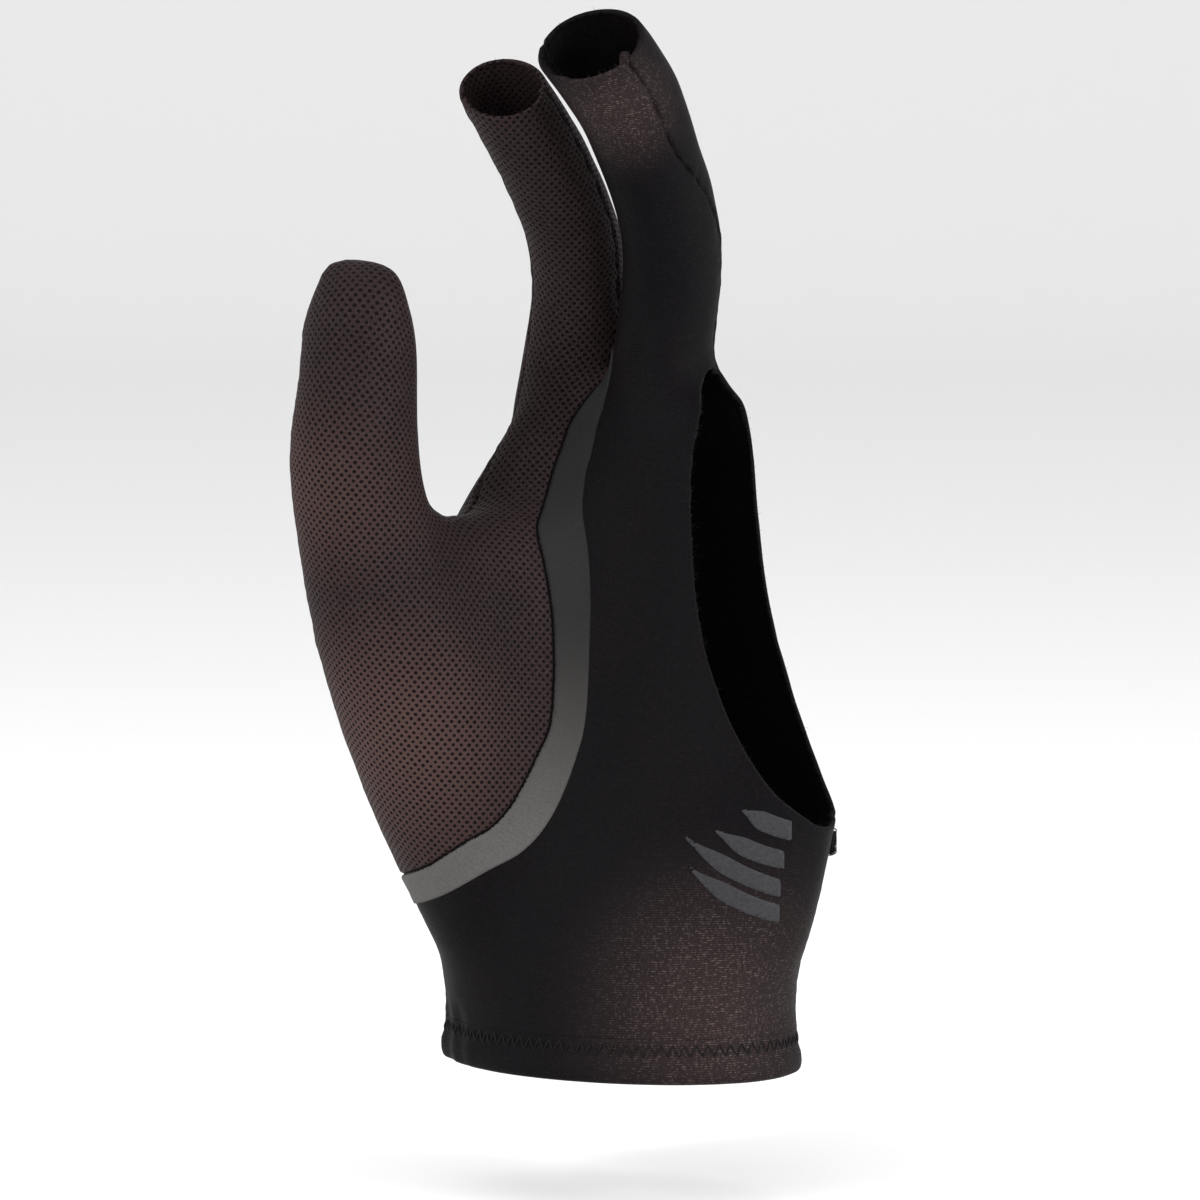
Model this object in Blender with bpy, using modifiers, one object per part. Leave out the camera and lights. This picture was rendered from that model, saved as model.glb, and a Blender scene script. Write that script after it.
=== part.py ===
"""Three-finger billiard glove, left hand, held in the shape of the hand that it fits.

The frame is the glove's own: origin at the middle of the wrist opening, +Z up to the fingers,
-Y towards the palm side, +X towards the open little-finger side. Sizes are in metres.
"""
import math
from collections import namedtuple

import bmesh
import bpy
import numpy as np
from mathutils import Matrix, Vector
from mathutils.bvhtree import BVHTree

MM = 0.001

# Cuff and palm
WRIST_HALF_WIDTH = 34.4 * MM
WRIST_HALF_DEPTH = 24.0 * MM
WRIST_TURN = math.radians(7.0)
CUFF_HEIGHT = 24.0 * MM
PALM_HALF_WIDTH = 42.5 * MM
PALM_HALF_DEPTH = 16.0 * MM
PALM_HEIGHT = 121.0 * MM
PALM_OFFSET = 8.8 * MM
KNUCKLE_SETBACK = 16.8 * MM

# Thumb stall and the web beside it
THUMB_SPREAD = 32.9 * MM
THUMB_REACH = 38.0 * MM
THUMB_HEIGHT = 145.8 * MM
THUMB_HALF_WIDTH = 11.6 * MM
WEB_EDGE_HEIGHT = 97.0 * MM
WEB_HALF_THICKNESS = 11.5 * MM

# Finger sleeves, open at their ends
FINGER_CURL = 34.0 * MM
INDEX_SIDE = 16.0 * MM
INDEX_LENGTH = 63.0 * MM
INDEX_HALF_WIDTH = 8.6 * MM
MIDDLE_SIDE = 5.0 * MM
MIDDLE_LENGTH = 67.0 * MM
MIDDLE_HALF_WIDTH = 9.2 * MM
INDEX_CUT_AT = 0.873
MIDDLE_CUT_AT = 0.935
INDEX_CUT_LEAN = math.radians(45.0)
INDEX_CUT_TURN = math.radians(19.0)
MIDDLE_CUT_LEAN = math.radians(46.0)
MIDDLE_CUT_TURN = math.radians(4.0)

# Cloth, trim and clearances
CLOTH = 1.2 * MM
GAP = 0.3 * MM
HEM_HEIGHT = 8.0 * MM
HEM_THICKNESS = 2.0 * MM
BAND_WIDTH = 5.8 * MM
BAND_THICKNESS = 0.5 * MM
TAB_WIDTH = 2.4 * MM
TAB_HEIGHT = 4.2 * MM
TAB_THICKNESS = 1.4 * MM
TAB_BELOW_OPENING = 1.4 * MM

# The opening's edge lies further towards the thumb on the back of the hand
OPENING_SLANT = math.radians(9.0)

# The side seams run where the glove turns out of sight from this side
SEAM_VIEW_TURN = math.radians(35.0)

# Fineness of the worked surface
GRAIN = 1.2 * MM
SOFTEN = 47
STRETCH = 188
SHEET_STEP = 4.0 * MM
FACES_KEPT = 0.030
RING_SIDES = 28
ROW_STEPS = 4
OUTLINE_STEPS = 3

Row = namedtuple("Row", "side forward up wide deep turn")
SeamPoint = namedtuple("SeamPoint", "side up band")
EdgePoint = namedtuple("EdgePoint", "side up")

# Shares of WRIST_HALF_WIDTH, WRIST_HALF_DEPTH, CUFF_HEIGHT and WRIST_TURN
CUFF_ROWS = (
    Row(0.00, 0.00, -0.58, 1.00, 1.00, 1.00),
    Row(0.00, 0.00, 0.00, 1.00, 1.00, 1.00),
    Row(-0.01, 0.00, 0.40, 0.98, 0.97, 1.00),
    Row(0.01, 0.00, 1.00, 1.02, 0.92, 0.86),
)
# Shares of PALM_OFFSET, KNUCKLE_SETBACK, PALM_HEIGHT, PALM_HALF_WIDTH, PALM_HALF_DEPTH, WRIST_TURN
PALM_ROWS = (
    Row(0.18, -0.10, 0.30, 0.88, 1.28, 0.57),
    Row(0.33, -0.24, 0.42, 0.92, 1.18, 0.29),
    Row(0.48, -0.44, 0.54, 0.95, 1.08, 0.00),
    Row(0.73, -0.70, 0.69, 1.00, 0.99, 0.00),
    Row(0.88, -0.89, 0.84, 1.00, 0.91, 0.00),
    Row(0.97, -0.96, 0.92, 0.97, 0.83, 0.00),
    Row(0.95, -0.95, 1.00, 0.80, 0.52, 0.00),
)
# Shares of THUMB_SPREAD, THUMB_REACH, THUMB_HEIGHT and THUMB_HALF_WIDTH
THUMB_ROWS = (
    Row(-0.43, 0.05, 0.10, 1.12, 1.12, 0),
    Row(-0.52, 0.18, 0.17, 1.38, 1.38, 0),
    Row(-0.60, 0.27, 0.25, 1.48, 1.51, 0),
    Row(-0.70, 0.41, 0.35, 1.50, 1.55, 0),
    Row(-0.79, 0.56, 0.45, 1.48, 1.47, 0),
    Row(-0.86, 0.69, 0.53, 1.40, 1.33, 0),
    Row(-0.93, 0.80, 0.60, 1.23, 1.17, 0),
    Row(-0.98, 0.88, 0.66, 1.11, 1.05, 0),
    Row(-1.00, 0.94, 0.73, 1.04, 1.00, 0),
    Row(-0.98, 0.97, 0.79, 1.00, 0.99, 0),
    Row(-0.95, 0.98, 0.84, 0.94, 0.92, 0),
    Row(-0.94, 0.98, 0.88, 0.94, 0.88, 0),
    Row(-0.93, 0.99, 0.92, 0.90, 0.81, 0),
    Row(-0.91, 1.00, 0.955, 0.79, 0.67, 0),
    Row(-0.91, 1.00, 0.983, 0.59, 0.43, 0),
    Row(-0.91, 1.00, 1.00, 0.26, 0.16, 0),
)
# Shares of INDEX_SIDE, FINGER_CURL, INDEX_LENGTH above the palm, and INDEX_HALF_WIDTH
INDEX_ROWS = (
    Row(-1.00, 0.04, -0.65, 1.16, 1.05, 0),
    Row(-1.22, 0.04, -0.33, 1.26, 1.40, 0),
    Row(-1.35, 0.07, -0.12, 1.21, 1.40, 0),
    Row(-1.27, 0.09, 0.08, 1.08, 1.19, 0),
    Row(-1.11, 0.14, 0.28, 1.02, 1.11, 0),
    Row(-1.01, 0.25, 0.43, 1.01, 1.07, 0),
    Row(-0.99, 0.42, 0.57, 1.00, 1.02, 0),
    Row(-1.01, 0.60, 0.70, 0.99, 0.98, 0),
    Row(-1.10, 0.77, 0.82, 0.97, 0.93, 0),
    Row(-1.15, 0.88, 0.90, 0.94, 0.88, 0),
    Row(-1.21, 1.02, 1.00, 0.92, 0.86, 0),
)
# Shares of MIDDLE_SIDE, FINGER_CURL, MIDDLE_LENGTH above the palm, and MIDDLE_HALF_WIDTH
MIDDLE_ROWS = (
    Row(-0.30, 0.05, -0.61, 1.07, 0.98, 0),
    Row(-0.44, 0.07, -0.22, 1.07, 1.35, 0),
    Row(-0.24, 0.08, -0.03, 1.01, 1.20, 0),
    Row(0.04, 0.11, 0.13, 0.98, 1.09, 0),
    Row(0.44, 0.14, 0.25, 0.98, 1.04, 0),
    Row(0.88, 0.21, 0.38, 0.99, 1.03, 0),
    Row(1.06, 0.33, 0.52, 1.00, 1.01, 0),
    Row(1.10, 0.49, 0.65, 1.04, 0.98, 0),
    Row(1.04, 0.68, 0.79, 1.11, 0.96, 0),
    Row(0.66, 0.84, 0.89, 1.14, 0.94, 0),
    Row(0.20, 1.04, 1.00, 1.12, 0.92, 0),
)
# Shares of THUMB_SPREAD, THUMB_REACH, WEB_EDGE_HEIGHT (twice) and WEB_HALF_THICKNESS
WEB_ROWS = (
    Row(-0.94, 0.76, 0.76, 0.217, 1.04, 0),
    Row(-0.73, 0.47, 0.753, 0.237, 1.00, 0),
    Row(-0.52, 0.18, 0.753, 0.247, 1.00, 0),
    Row(-0.30, -0.08, 0.784, 0.237, 1.00, 0),
    Row(-0.12, -0.26, 0.825, 0.227, 0.96, 0),
)
# Shares of THUMB_SPREAD, THUMB_REACH, PALM_HEIGHT and WEB_HALF_THICKNESS
WEB_BACK_ROWS = (
    Row(-0.67, 0.08, 0.215, 0.78, 0.78, 0),
    Row(-0.79, 0.13, 0.413, 1.09, 1.04, 0),
    Row(-0.85, 0.16, 0.579, 1.09, 1.04, 0),
    Row(-0.82, 0.16, 0.711, 0.87, 0.78, 0),
    Row(-0.75, 0.08, 0.810, 0.70, 0.61, 0),
    Row(-0.67, -0.07, 0.893, 0.61, 0.61, 0),
    Row(-0.61, -0.20, 0.975, 0.52, 0.52, 0),
    Row(-0.56, -0.28, 1.041, 0.44, 0.52, 0),
)
# Where the mesh cloth meets the knit, as shares of PALM_HALF_WIDTH and PALM_HEIGHT, from the thumb
# side to the fork of the fingers; band is the share of BAND_WIDTH that the tape has there
MESH_EDGE = (
    SeamPoint(-1.40, 0.248, 1.00),
    SeamPoint(-0.87, 0.277, 1.00),
    SeamPoint(-0.54, 0.306, 1.00),
    SeamPoint(-0.30, 0.357, 1.05),
    SeamPoint(-0.216, 0.383, 1.05),
    SeamPoint(-0.167, 0.439, 1.05),
    SeamPoint(-0.144, 0.479, 1.05),
    SeamPoint(-0.125, 0.522, 1.00),
    SeamPoint(-0.148, 0.628, 0.93),
    SeamPoint(-0.172, 0.692, 0.95),
    SeamPoint(-0.219, 0.755, 1.00),
    SeamPoint(-0.299, 0.819, 1.03),
    SeamPoint(-0.339, 0.875, 1.05),
    SeamPoint(-0.334, 0.919, 1.05),
    SeamPoint(-0.322, 0.956, 1.00),
    SeamPoint(-0.275, 0.995, 0.80),
    SeamPoint(-0.226, 1.023, 0.50),
    SeamPoint(-0.165, 1.065, 0.08),
)
# Edge of the little-finger side opening, as shares of PALM_HALF_WIDTH and PALM_HEIGHT, from the
# fork of the fingers down to the side seam
OPENING_EDGE = (
    EdgePoint(0.275, 1.095),
    EdgePoint(0.261, 1.058),
    EdgePoint(0.289, 1.012),
    EdgePoint(0.315, 0.979),
    EdgePoint(0.319, 0.936),
    EdgePoint(0.326, 0.884),
    EdgePoint(0.352, 0.813),
    EdgePoint(0.412, 0.708),
    EdgePoint(0.485, 0.633),
    EdgePoint(0.521, 0.606),
    EdgePoint(0.605, 0.548),
    EdgePoint(0.704, 0.492),
    EdgePoint(0.760, 0.463),
    EdgePoint(0.833, 0.429),
    EdgePoint(0.925, 0.396),
    EdgePoint(0.990, 0.371),
    EdgePoint(1.080, 0.362),
)


def smooth_through(points, steps):
    """Catmull-Rom curve through the points, with steps stretches between neighbours."""
    p = np.array(points, float)
    p = np.vstack([2 * p[0] - p[1], p, 2 * p[-1] - p[-2]])
    out = []
    for i in range(1, len(p) - 2):
        a, b, c, d = p[i - 1:i + 3]
        for t in np.arange(steps) / steps:
            out.append(0.5 * (2 * b + (c - a) * t + (2 * a - 5 * b + 4 * c - d) * t ** 2
                              + (3 * b - a - 3 * c + d) * t ** 3))
    out.append(p[-2])
    return np.array(out)


def real_rows(rows, side, forward, up, wide, deep, start=(0, 0, 0), turn=0.0):
    """Section rows in metres: each share times the named size that it follows."""
    x0, y0, z0 = start
    return [(x0 + r.side * side, y0 - r.forward * forward, z0 + r.up * up,
             r.wide * wide, r.deep * deep, r.turn * turn) for r in rows]


def limb_rows():
    """The rows of every limb, by name, each with the direction of its sections' width."""
    knuckles = (0, KNUCKLE_SETBACK, PALM_HEIGHT)
    width, height = Vector((1, 0, 0)), Vector((0, 0, 1))
    cuff = real_rows(CUFF_ROWS, WRIST_HALF_WIDTH, WRIST_HALF_DEPTH, CUFF_HEIGHT,
                     WRIST_HALF_WIDTH, WRIST_HALF_DEPTH, turn=WRIST_TURN)
    palm = real_rows(PALM_ROWS, PALM_OFFSET, KNUCKLE_SETBACK, PALM_HEIGHT,
                     PALM_HALF_WIDTH, PALM_HALF_DEPTH, turn=WRIST_TURN)
    return {
        "palm": (cuff + palm, width),
        "thumb": (real_rows(THUMB_ROWS, THUMB_SPREAD, THUMB_REACH, THUMB_HEIGHT,
                            THUMB_HALF_WIDTH, THUMB_HALF_WIDTH), width),
        "index": (real_rows(INDEX_ROWS, INDEX_SIDE, FINGER_CURL, INDEX_LENGTH,
                            INDEX_HALF_WIDTH, INDEX_HALF_WIDTH, knuckles), width),
        "middle": (real_rows(MIDDLE_ROWS, MIDDLE_SIDE, FINGER_CURL, MIDDLE_LENGTH,
                             MIDDLE_HALF_WIDTH, MIDDLE_HALF_WIDTH, knuckles), width),
        "web": (real_rows(WEB_ROWS, THUMB_SPREAD, THUMB_REACH, WEB_EDGE_HEIGHT,
                          WEB_EDGE_HEIGHT, WEB_HALF_THICKNESS), height),
        "web back": (real_rows(WEB_BACK_ROWS, THUMB_SPREAD, THUMB_REACH, PALM_HEIGHT,
                               WEB_HALF_THICKNESS, WEB_HALF_THICKNESS), width),
    }


def add_limb(bm, rows, width_axis):
    """Loft of elliptical rings through the rows, square to the limb's centre line, with flat ends."""
    rows = smooth_through(rows, ROW_STEPS)
    centres = rows[:, :3]
    ways = np.gradient(centres, axis=0)
    rings = []
    for centre, way, (wide, deep, turn) in zip(centres, ways, rows[:, 3:]):
        along = Vector(way).normalized()
        across = (width_axis - along * width_axis.dot(along)).normalized()
        depth = along.cross(across)
        u = across * math.cos(turn) + depth * math.sin(turn)
        v = depth * math.cos(turn) - across * math.sin(turn)
        ring = []
        for k in range(RING_SIDES):
            angle = 2 * math.pi * k / RING_SIDES
            ring.append(bm.verts.new(Vector(centre) + u * wide * math.cos(angle)
                                     + v * deep * math.sin(angle)))
        rings.append(ring)
    for lower, upper in zip(rings, rings[1:]):
        for k in range(RING_SIDES):
            n = (k + 1) % RING_SIDES
            bm.faces.new((lower[k], lower[n], upper[n], upper[k]))
    bm.faces.new(list(reversed(rings[0])))
    bm.faces.new(rings[-1])


def new_object(name, mesh, collection):
    ob = bpy.data.objects.new(name, mesh)
    collection.objects.link(ob)
    return ob


def evaluated_mesh(ob):
    """The object's mesh with its modifiers applied, as a mesh of its own."""
    graph = bpy.context.evaluated_depsgraph_get()
    return bpy.data.meshes.new_from_object(ob.evaluated_get(graph))


def mean_of_neighbours(v, edges, degree):
    total = np.zeros_like(v)
    for c in range(3):
        total[:, c] = (np.bincount(edges[:, 0], weights=v[edges[:, 1], c], minlength=len(v))
                       + np.bincount(edges[:, 1], weights=v[edges[:, 0], c], minlength=len(v)))
    return total / degree


def vertex_normals(v, quads):
    face = np.cross(v[quads[:, 2]] - v[quads[:, 0]], v[quads[:, 3]] - v[quads[:, 1]])
    normal = np.zeros_like(v)
    for corner in range(4):
        for c in range(3):
            normal[:, c] += np.bincount(quads[:, corner], weights=face[:, c], minlength=len(v))
    return normal / np.linalg.norm(normal, axis=1)[:, None]


def stretch_over_hollows(mesh, rounds):
    """Taut cloth spans a hollow: points move out where they lie below their neighbours, never in."""
    v = np.array([p.co for p in mesh.vertices])
    edges = np.array([e.vertices[:] for e in mesh.edges])
    quads = np.array([p.vertices[:] for p in mesh.polygons])
    degree = np.bincount(edges.ravel(), minlength=len(v))[:, None]
    for i in range(rounds):
        if i % 10 == 0:
            normal = vertex_normals(v, quads)
        pull = mean_of_neighbours(v, edges, degree) - v
        outward = (pull * normal).sum(1)[:, None]
        sideways = pull - normal * outward
        v = v + 0.5 * (normal * np.maximum(outward, 0) + sideways)
    mesh.vertices.foreach_set("co", v.astype(np.float32).ravel())
    mesh.update()


def hand_form(guides):
    """The glove's outer form, closed: the limbs run into one another and the cloth is drawn tight."""
    bm = bmesh.new()
    for rows, width_axis in limb_rows().values():
        add_limb(bm, rows, width_axis)
    mesh = bpy.data.meshes.new("form")
    bm.to_mesh(mesh)
    bm.free()
    limbs = new_object("form_limbs", mesh, guides)
    remesh = limbs.modifiers.new("One skin", "REMESH")
    remesh.mode = "VOXEL"
    remesh.voxel_size = GRAIN
    smooth = limbs.modifiers.new("Soft joins", "SMOOTH")
    smooth.factor = 0.5
    smooth.iterations = SOFTEN
    skin = evaluated_mesh(limbs)
    bpy.data.objects.remove(limbs)
    stretch_over_hollows(skin, STRETCH)
    fine = new_object("form_fine", skin, guides)
    decimate = fine.modifiers.new("Fewer faces", "DECIMATE")
    decimate.ratio = FACES_KEPT
    form = evaluated_mesh(fine)
    bpy.data.objects.remove(fine)
    return form


def shell(name, form, thickness, collection):
    """The form as a wall, inward from its surface."""
    ob = new_object(name, form.copy(), collection)
    add_wall(ob, thickness, outward=False)
    return ob


def add_wall(ob, thickness, outward):
    wall = ob.modifiers.new("Wall", "SOLIDIFY")
    wall.thickness = thickness
    wall.offset = 1.0 if outward else -1.0
    wall.use_even_offset = True


def open_sheet(form, keep, guides):
    """The part of the form's surface inside the given cutters, without the cutters' own faces."""
    ob = new_object("sheet", form.copy(), guides)
    ob.data.materials.clear()
    ob.data.materials.append(bpy.data.materials.new("surface"))
    for cutter in keep:
        keep_inside(ob, cutter)
        ob.modifiers[-1].material_mode = "TRANSFER"
    sheet = evaluated_mesh(ob)
    bpy.data.objects.remove(ob)
    bm = bmesh.new()
    bm.from_mesh(sheet)
    bmesh.ops.delete(bm, geom=[f for f in bm.faces if f.material_index > 0], context="FACES")
    bm.to_mesh(sheet)
    bm.free()
    sheet.materials.clear()
    return sheet


def finger_centre(rows, share, base):
    """The point on a finger's centre line at the share of its length, by height."""
    curve = smooth_through(rows, ROW_STEPS)
    low, high = base, rows[-1][2]
    z = low + (high - low) * share
    return Vector([np.interp(z, curve[:, 2], curve[:, c]) for c in range(3)])


def fork_line():
    """Points down the middle of the gap between the two finger sleeves, from the fork up."""
    limbs = limb_rows()
    index = smooth_through(limbs["index"][0], ROW_STEPS)
    middle = smooth_through(limbs["middle"][0], ROW_STEPS)
    low, high = PALM_HEIGHT * 1.12, max(index[-1, 2], middle[-1, 2]) * 1.04
    points = []
    for z in np.linspace(low, high, 12):
        right_of_index = np.interp(z, index[:, 2], index[:, 0] + index[:, 3])
        left_of_middle = np.interp(z, middle[:, 2], middle[:, 0] - middle[:, 3])
        points.append(((right_of_index + left_of_middle) / 2, z))
    return points


def offset_line(points, distances):
    """The line moved to its right side by the given distances."""
    p = np.array(points)
    way = np.gradient(p, axis=0)
    way /= np.linalg.norm(way, axis=1)[:, None]
    right = np.stack([way[:, 1], -way[:, 0]], 1)
    return p + right * np.array(distances)[:, None]


def mesh_edge_line():
    """The mesh cloth's edge in (x, z), with the tape's width at each point."""
    chosen = [(p.side * PALM_HALF_WIDTH, p.up * PALM_HEIGHT, p.band * BAND_WIDTH) for p in MESH_EDGE]
    line = smooth_through(chosen, OUTLINE_STEPS)
    return line[:, :2], line[:, 2]


def prism(name, outline, guides, slant=0.0):
    """Closed solid through the whole depth of the glove, from an outline in (x, z).

    With a slant, the outline moves towards the thumb side as the solid goes back.
    """
    reach = 4 * PALM_HALF_WIDTH
    drift = reach * math.tan(slant)
    bm = bmesh.new()
    face = bm.faces.new([bm.verts.new((x + drift / 2, -reach / 2, z)) for x, z in outline])
    moved = bmesh.ops.extrude_face_region(bm, geom=[face])
    bmesh.ops.translate(bm, verts=[g for g in moved["geom"] if isinstance(g, bmesh.types.BMVert)],
                        vec=(-drift, reach, 0))
    face_outward(bm)
    mesh = bpy.data.meshes.new(name)
    bm.to_mesh(mesh)
    bm.free()
    return new_guide(name, mesh, guides)


def face_outward(bm):
    """Consistent faces, turned out: a narrow bent solid can otherwise end up inside out."""
    bmesh.ops.recalc_face_normals(bm, faces=bm.faces)
    if bm.calc_volume(signed=True) < 0:
        bmesh.ops.reverse_faces(bm, faces=bm.faces)


def new_guide(name, mesh, guides):
    mesh.materials.append(bpy.data.materials.new("cut " + name))
    ob = new_object(name, mesh, guides)
    ob.hide_render = True
    ob.display_type = "WIRE"
    return ob


def mesh_cloth_prism(name, grow, guides):
    """All of the glove on the thumb side of the mesh cloth's edge, grown past it by the given size."""
    edge, _ = mesh_edge_line()
    line = np.vstack([edge, fork_line()])
    line = offset_line(line, [grow] * len(line))
    far = 2.5 * PALM_HALF_WIDTH
    outline = [tuple(p) for p in line] + [(-far, line[-1, 1]), (-far, line[0, 1])]
    return prism(name, outline, guides)


def band_prism(guides):
    edge, width = mesh_edge_line()
    outer = offset_line(edge, width)
    outline = [tuple(p) for p in edge] + [tuple(p) for p in reversed(outer)]
    return prism("band_outline", outline, guides)


def opening_prism(guides):
    line = smooth_through([(p.side * PALM_HALF_WIDTH, p.up * PALM_HEIGHT) for p in OPENING_EDGE],
                          OUTLINE_STEPS)
    far = 2.5 * PALM_HALF_WIDTH
    outline = [tuple(p) for p in line] + [(far, line[-1, 1]), (far, line[0, 1])]
    return prism("opening_outline", outline, guides, OPENING_SLANT)


def slab(name, low, high, guides):
    """Everything of the glove between two heights."""
    far = 2.5 * PALM_HALF_WIDTH
    return prism(name, [(-far, low), (far, low), (far, high), (-far, high)], guides)


def sleeve_end(name, centre, lean, turn, half_width, guides):
    """Short cylinder whose foot is the plane of a sleeve's open end."""
    radius, height = 1.45 * half_width, 3.0 * half_width
    bm = bmesh.new()
    bmesh.ops.create_cone(bm, cap_ends=True, segments=32, radius1=radius, radius2=radius, depth=height)
    bmesh.ops.translate(bm, verts=bm.verts, vec=(0, 0, height / 2))
    mesh = bpy.data.meshes.new(name)
    bm.to_mesh(mesh)
    bm.free()
    ob = new_guide(name, mesh, guides)
    ob.matrix_world = (Matrix.Translation(centre) @ Matrix.Rotation(turn, 4, "Z")
                       @ Matrix.Rotation(lean, 4, "X"))
    return ob


def seam_sheet_depths(form):
    """Depth of the sheet midway through the form, on a grid seen square to the side seams' view."""
    turn = Matrix.Rotation(-SEAM_VIEW_TURN, 4, "Z")
    tree = BVHTree.FromPolygons([turn @ v.co for v in form.vertices],
                                [tuple(p.vertices) for p in form.polygons])
    far = 3 * PALM_HALF_WIDTH
    across = np.arange(-1.8 * PALM_HALF_WIDTH, 1.8 * PALM_HALF_WIDTH, SHEET_STEP)
    up = np.arange(-CUFF_HEIGHT, PALM_HEIGHT + MIDDLE_LENGTH + CUFF_HEIGHT, SHEET_STEP)
    depth = np.full((len(up), len(across)), np.nan)
    for j, z in enumerate(up):
        for i, x in enumerate(across):
            front = tree.ray_cast(Vector((x, -far, z)), Vector((0, 1, 0)))[0]
            back = tree.ray_cast(Vector((x, far, z)), Vector((0, -1, 0)))[0]
            if front and back:
                depth[j, i] = (front.y + back.y) / 2
    known = ~np.isnan(depth)
    filled = np.where(known, depth, np.nanmean(depth))
    for _ in range(400):
        padded = np.pad(filled, 1, mode="edge")
        around = (padded[:-2, 1:-1] + padded[2:, 1:-1] + padded[1:-1, :-2] + padded[1:-1, 2:]) / 4
        filled = np.where(known, depth, around)
    for _ in range(2):
        padded = np.pad(filled, 1, mode="edge")
        around = (padded[:-2, 1:-1] + padded[2:, 1:-1] + padded[1:-1, :-2] + padded[1:-1, 2:]) / 4
        filled = (filled + around) / 2
    return across, up, filled


def half_space(name, sheet, side, guides):
    """Closed solid on one side of the seam sheet: side is -1 for the palm half, +1 for the back."""
    across, up, depth = sheet
    reach = 3 * PALM_HALF_WIDTH
    slope_up, slope_across = np.gradient(depth, SHEET_STEP)
    shift = side * GAP / 2 / np.sqrt(1 + slope_up ** 2 + slope_across ** 2)
    bm = bmesh.new()
    grid = [[bm.verts.new((x - slope_across[j, i] * shift[j, i], depth[j, i] + shift[j, i],
                           z - slope_up[j, i] * shift[j, i]))
             for i, x in enumerate(across)] for j, z in enumerate(up)]
    faces = []
    for low, high in zip(grid, grid[1:]):
        for a, b, c, d in zip(low, low[1:], high[1:], high):
            faces.append(bm.faces.new((a, b, c)))
            faces.append(bm.faces.new((a, c, d)))
    moved = bmesh.ops.extrude_face_region(bm, geom=faces)
    for item in moved["geom"]:
        if isinstance(item, bmesh.types.BMVert):
            item.co.y = side * reach
    face_outward(bm)
    mesh = bpy.data.meshes.new(name)
    bm.to_mesh(mesh)
    bm.free()
    ob = new_guide(name, mesh, guides)
    ob.rotation_euler.z = SEAM_VIEW_TURN
    return ob


def keep_inside(ob, cutter):
    boolean = ob.modifiers.new("Keep " + cutter.name, "BOOLEAN")
    boolean.operation = "INTERSECT"
    boolean.object = cutter


def cut_away(ob, cutter):
    boolean = ob.modifiers.new("Cut " + cutter.name, "BOOLEAN")
    boolean.operation = "DIFFERENCE"
    boolean.object = cutter


def material(name, colour, roughness):
    mat = bpy.data.materials.new(name)
    mat.use_nodes = True
    surface = mat.node_tree.nodes["Principled BSDF"]
    surface.inputs["Base Color"].default_value = (*colour, 1.0)
    surface.inputs["Roughness"].default_value = roughness
    surface.inputs["Metallic"].default_value = 0.0
    mat.diffuse_color = (*colour, 1.0)
    return mat


def mesh_panel(name, form, half, cutters, parts):
    """Open-weave cloth of the thumb, the web and the index finger, one half of it."""
    ob = shell(name, form, CLOTH, parts)
    keep_inside(ob, cutters["mesh cloth"])
    cut_away(ob, cutters["index end"])
    keep_inside(ob, cutters[half])
    return ob


def knit_panel(name, form, half, cutters, parts):
    """Stretch knit of the cuff, the palm strip and the middle finger, one half of it."""
    ob = shell(name, form, CLOTH, parts)
    cut_away(ob, cutters["mesh cloth grown"])
    cut_away(ob, cutters["opening"])
    keep_inside(ob, cutters["above hem"])
    cut_away(ob, cutters["middle end"])
    keep_inside(ob, cutters[half])
    return ob


def wrist_hem(form, cutters, parts):
    """Folded ring of knit round the wrist opening."""
    ob = shell("wrist_hem", form, HEM_THICKNESS, parts)
    keep_inside(ob, cutters["hem"])
    return ob


def seam_band(form, cutters, parts, guides):
    """Bonded tape on the palm side, over the seam between the two cloths."""
    sheet = open_sheet(form, [cutters["band"], cutters["palm half"]], guides)
    normals = [v.normal.copy() for v in sheet.vertices]
    for v, normal in zip(sheet.vertices, normals):
        v.co += normal * GAP
    ob = new_object("seam_band", sheet, parts)
    add_wall(ob, BAND_THICKNESS, outward=True)
    return ob


def side_seam_tab(form, sheet, parts):
    """End of the little-finger side seam, a small tab below the opening."""
    across, up, depth = sheet
    z = OPENING_EDGE[-1].up * PALM_HEIGHT - TAB_BELOW_OPENING - TAB_HEIGHT / 2
    row = depth[int(np.argmin(abs(up - z)))]
    turn = Matrix.Rotation(SEAM_VIEW_TURN, 4, "Z")
    tree = BVHTree.FromPolygons([v.co for v in form.vertices],
                                [tuple(p.vertices) for p in form.polygons])
    edge_x = across[-1]
    start = turn @ Vector((edge_x, float(np.interp(WRIST_HALF_WIDTH, across, row)), z))
    inward = turn @ Vector((-1, 0, 0))
    hit, normal, _, _ = tree.ray_cast(start, inward)
    bm = bmesh.new()
    bmesh.ops.create_cube(bm, size=1.0)
    bmesh.ops.scale(bm, verts=bm.verts, vec=(TAB_THICKNESS, TAB_WIDTH, TAB_HEIGHT))
    mesh = bpy.data.meshes.new("side_seam_tab")
    bm.to_mesh(mesh)
    bm.free()
    ob = new_object("side_seam_tab", mesh, parts)
    flat = Vector((normal.x, normal.y, 0)).normalized()
    ob.rotation_euler.z = math.atan2(flat.y, flat.x)
    ob.location = hit + flat * (2 * GAP + TAB_THICKNESS / 2)
    round_off = ob.modifiers.new("Soft edges", "BEVEL")
    round_off.width = TAB_THICKNESS / 4
    round_off.segments = 2
    return ob


def clear_scene():
    for ob in list(bpy.data.objects):
        bpy.data.objects.remove(ob)


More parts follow.
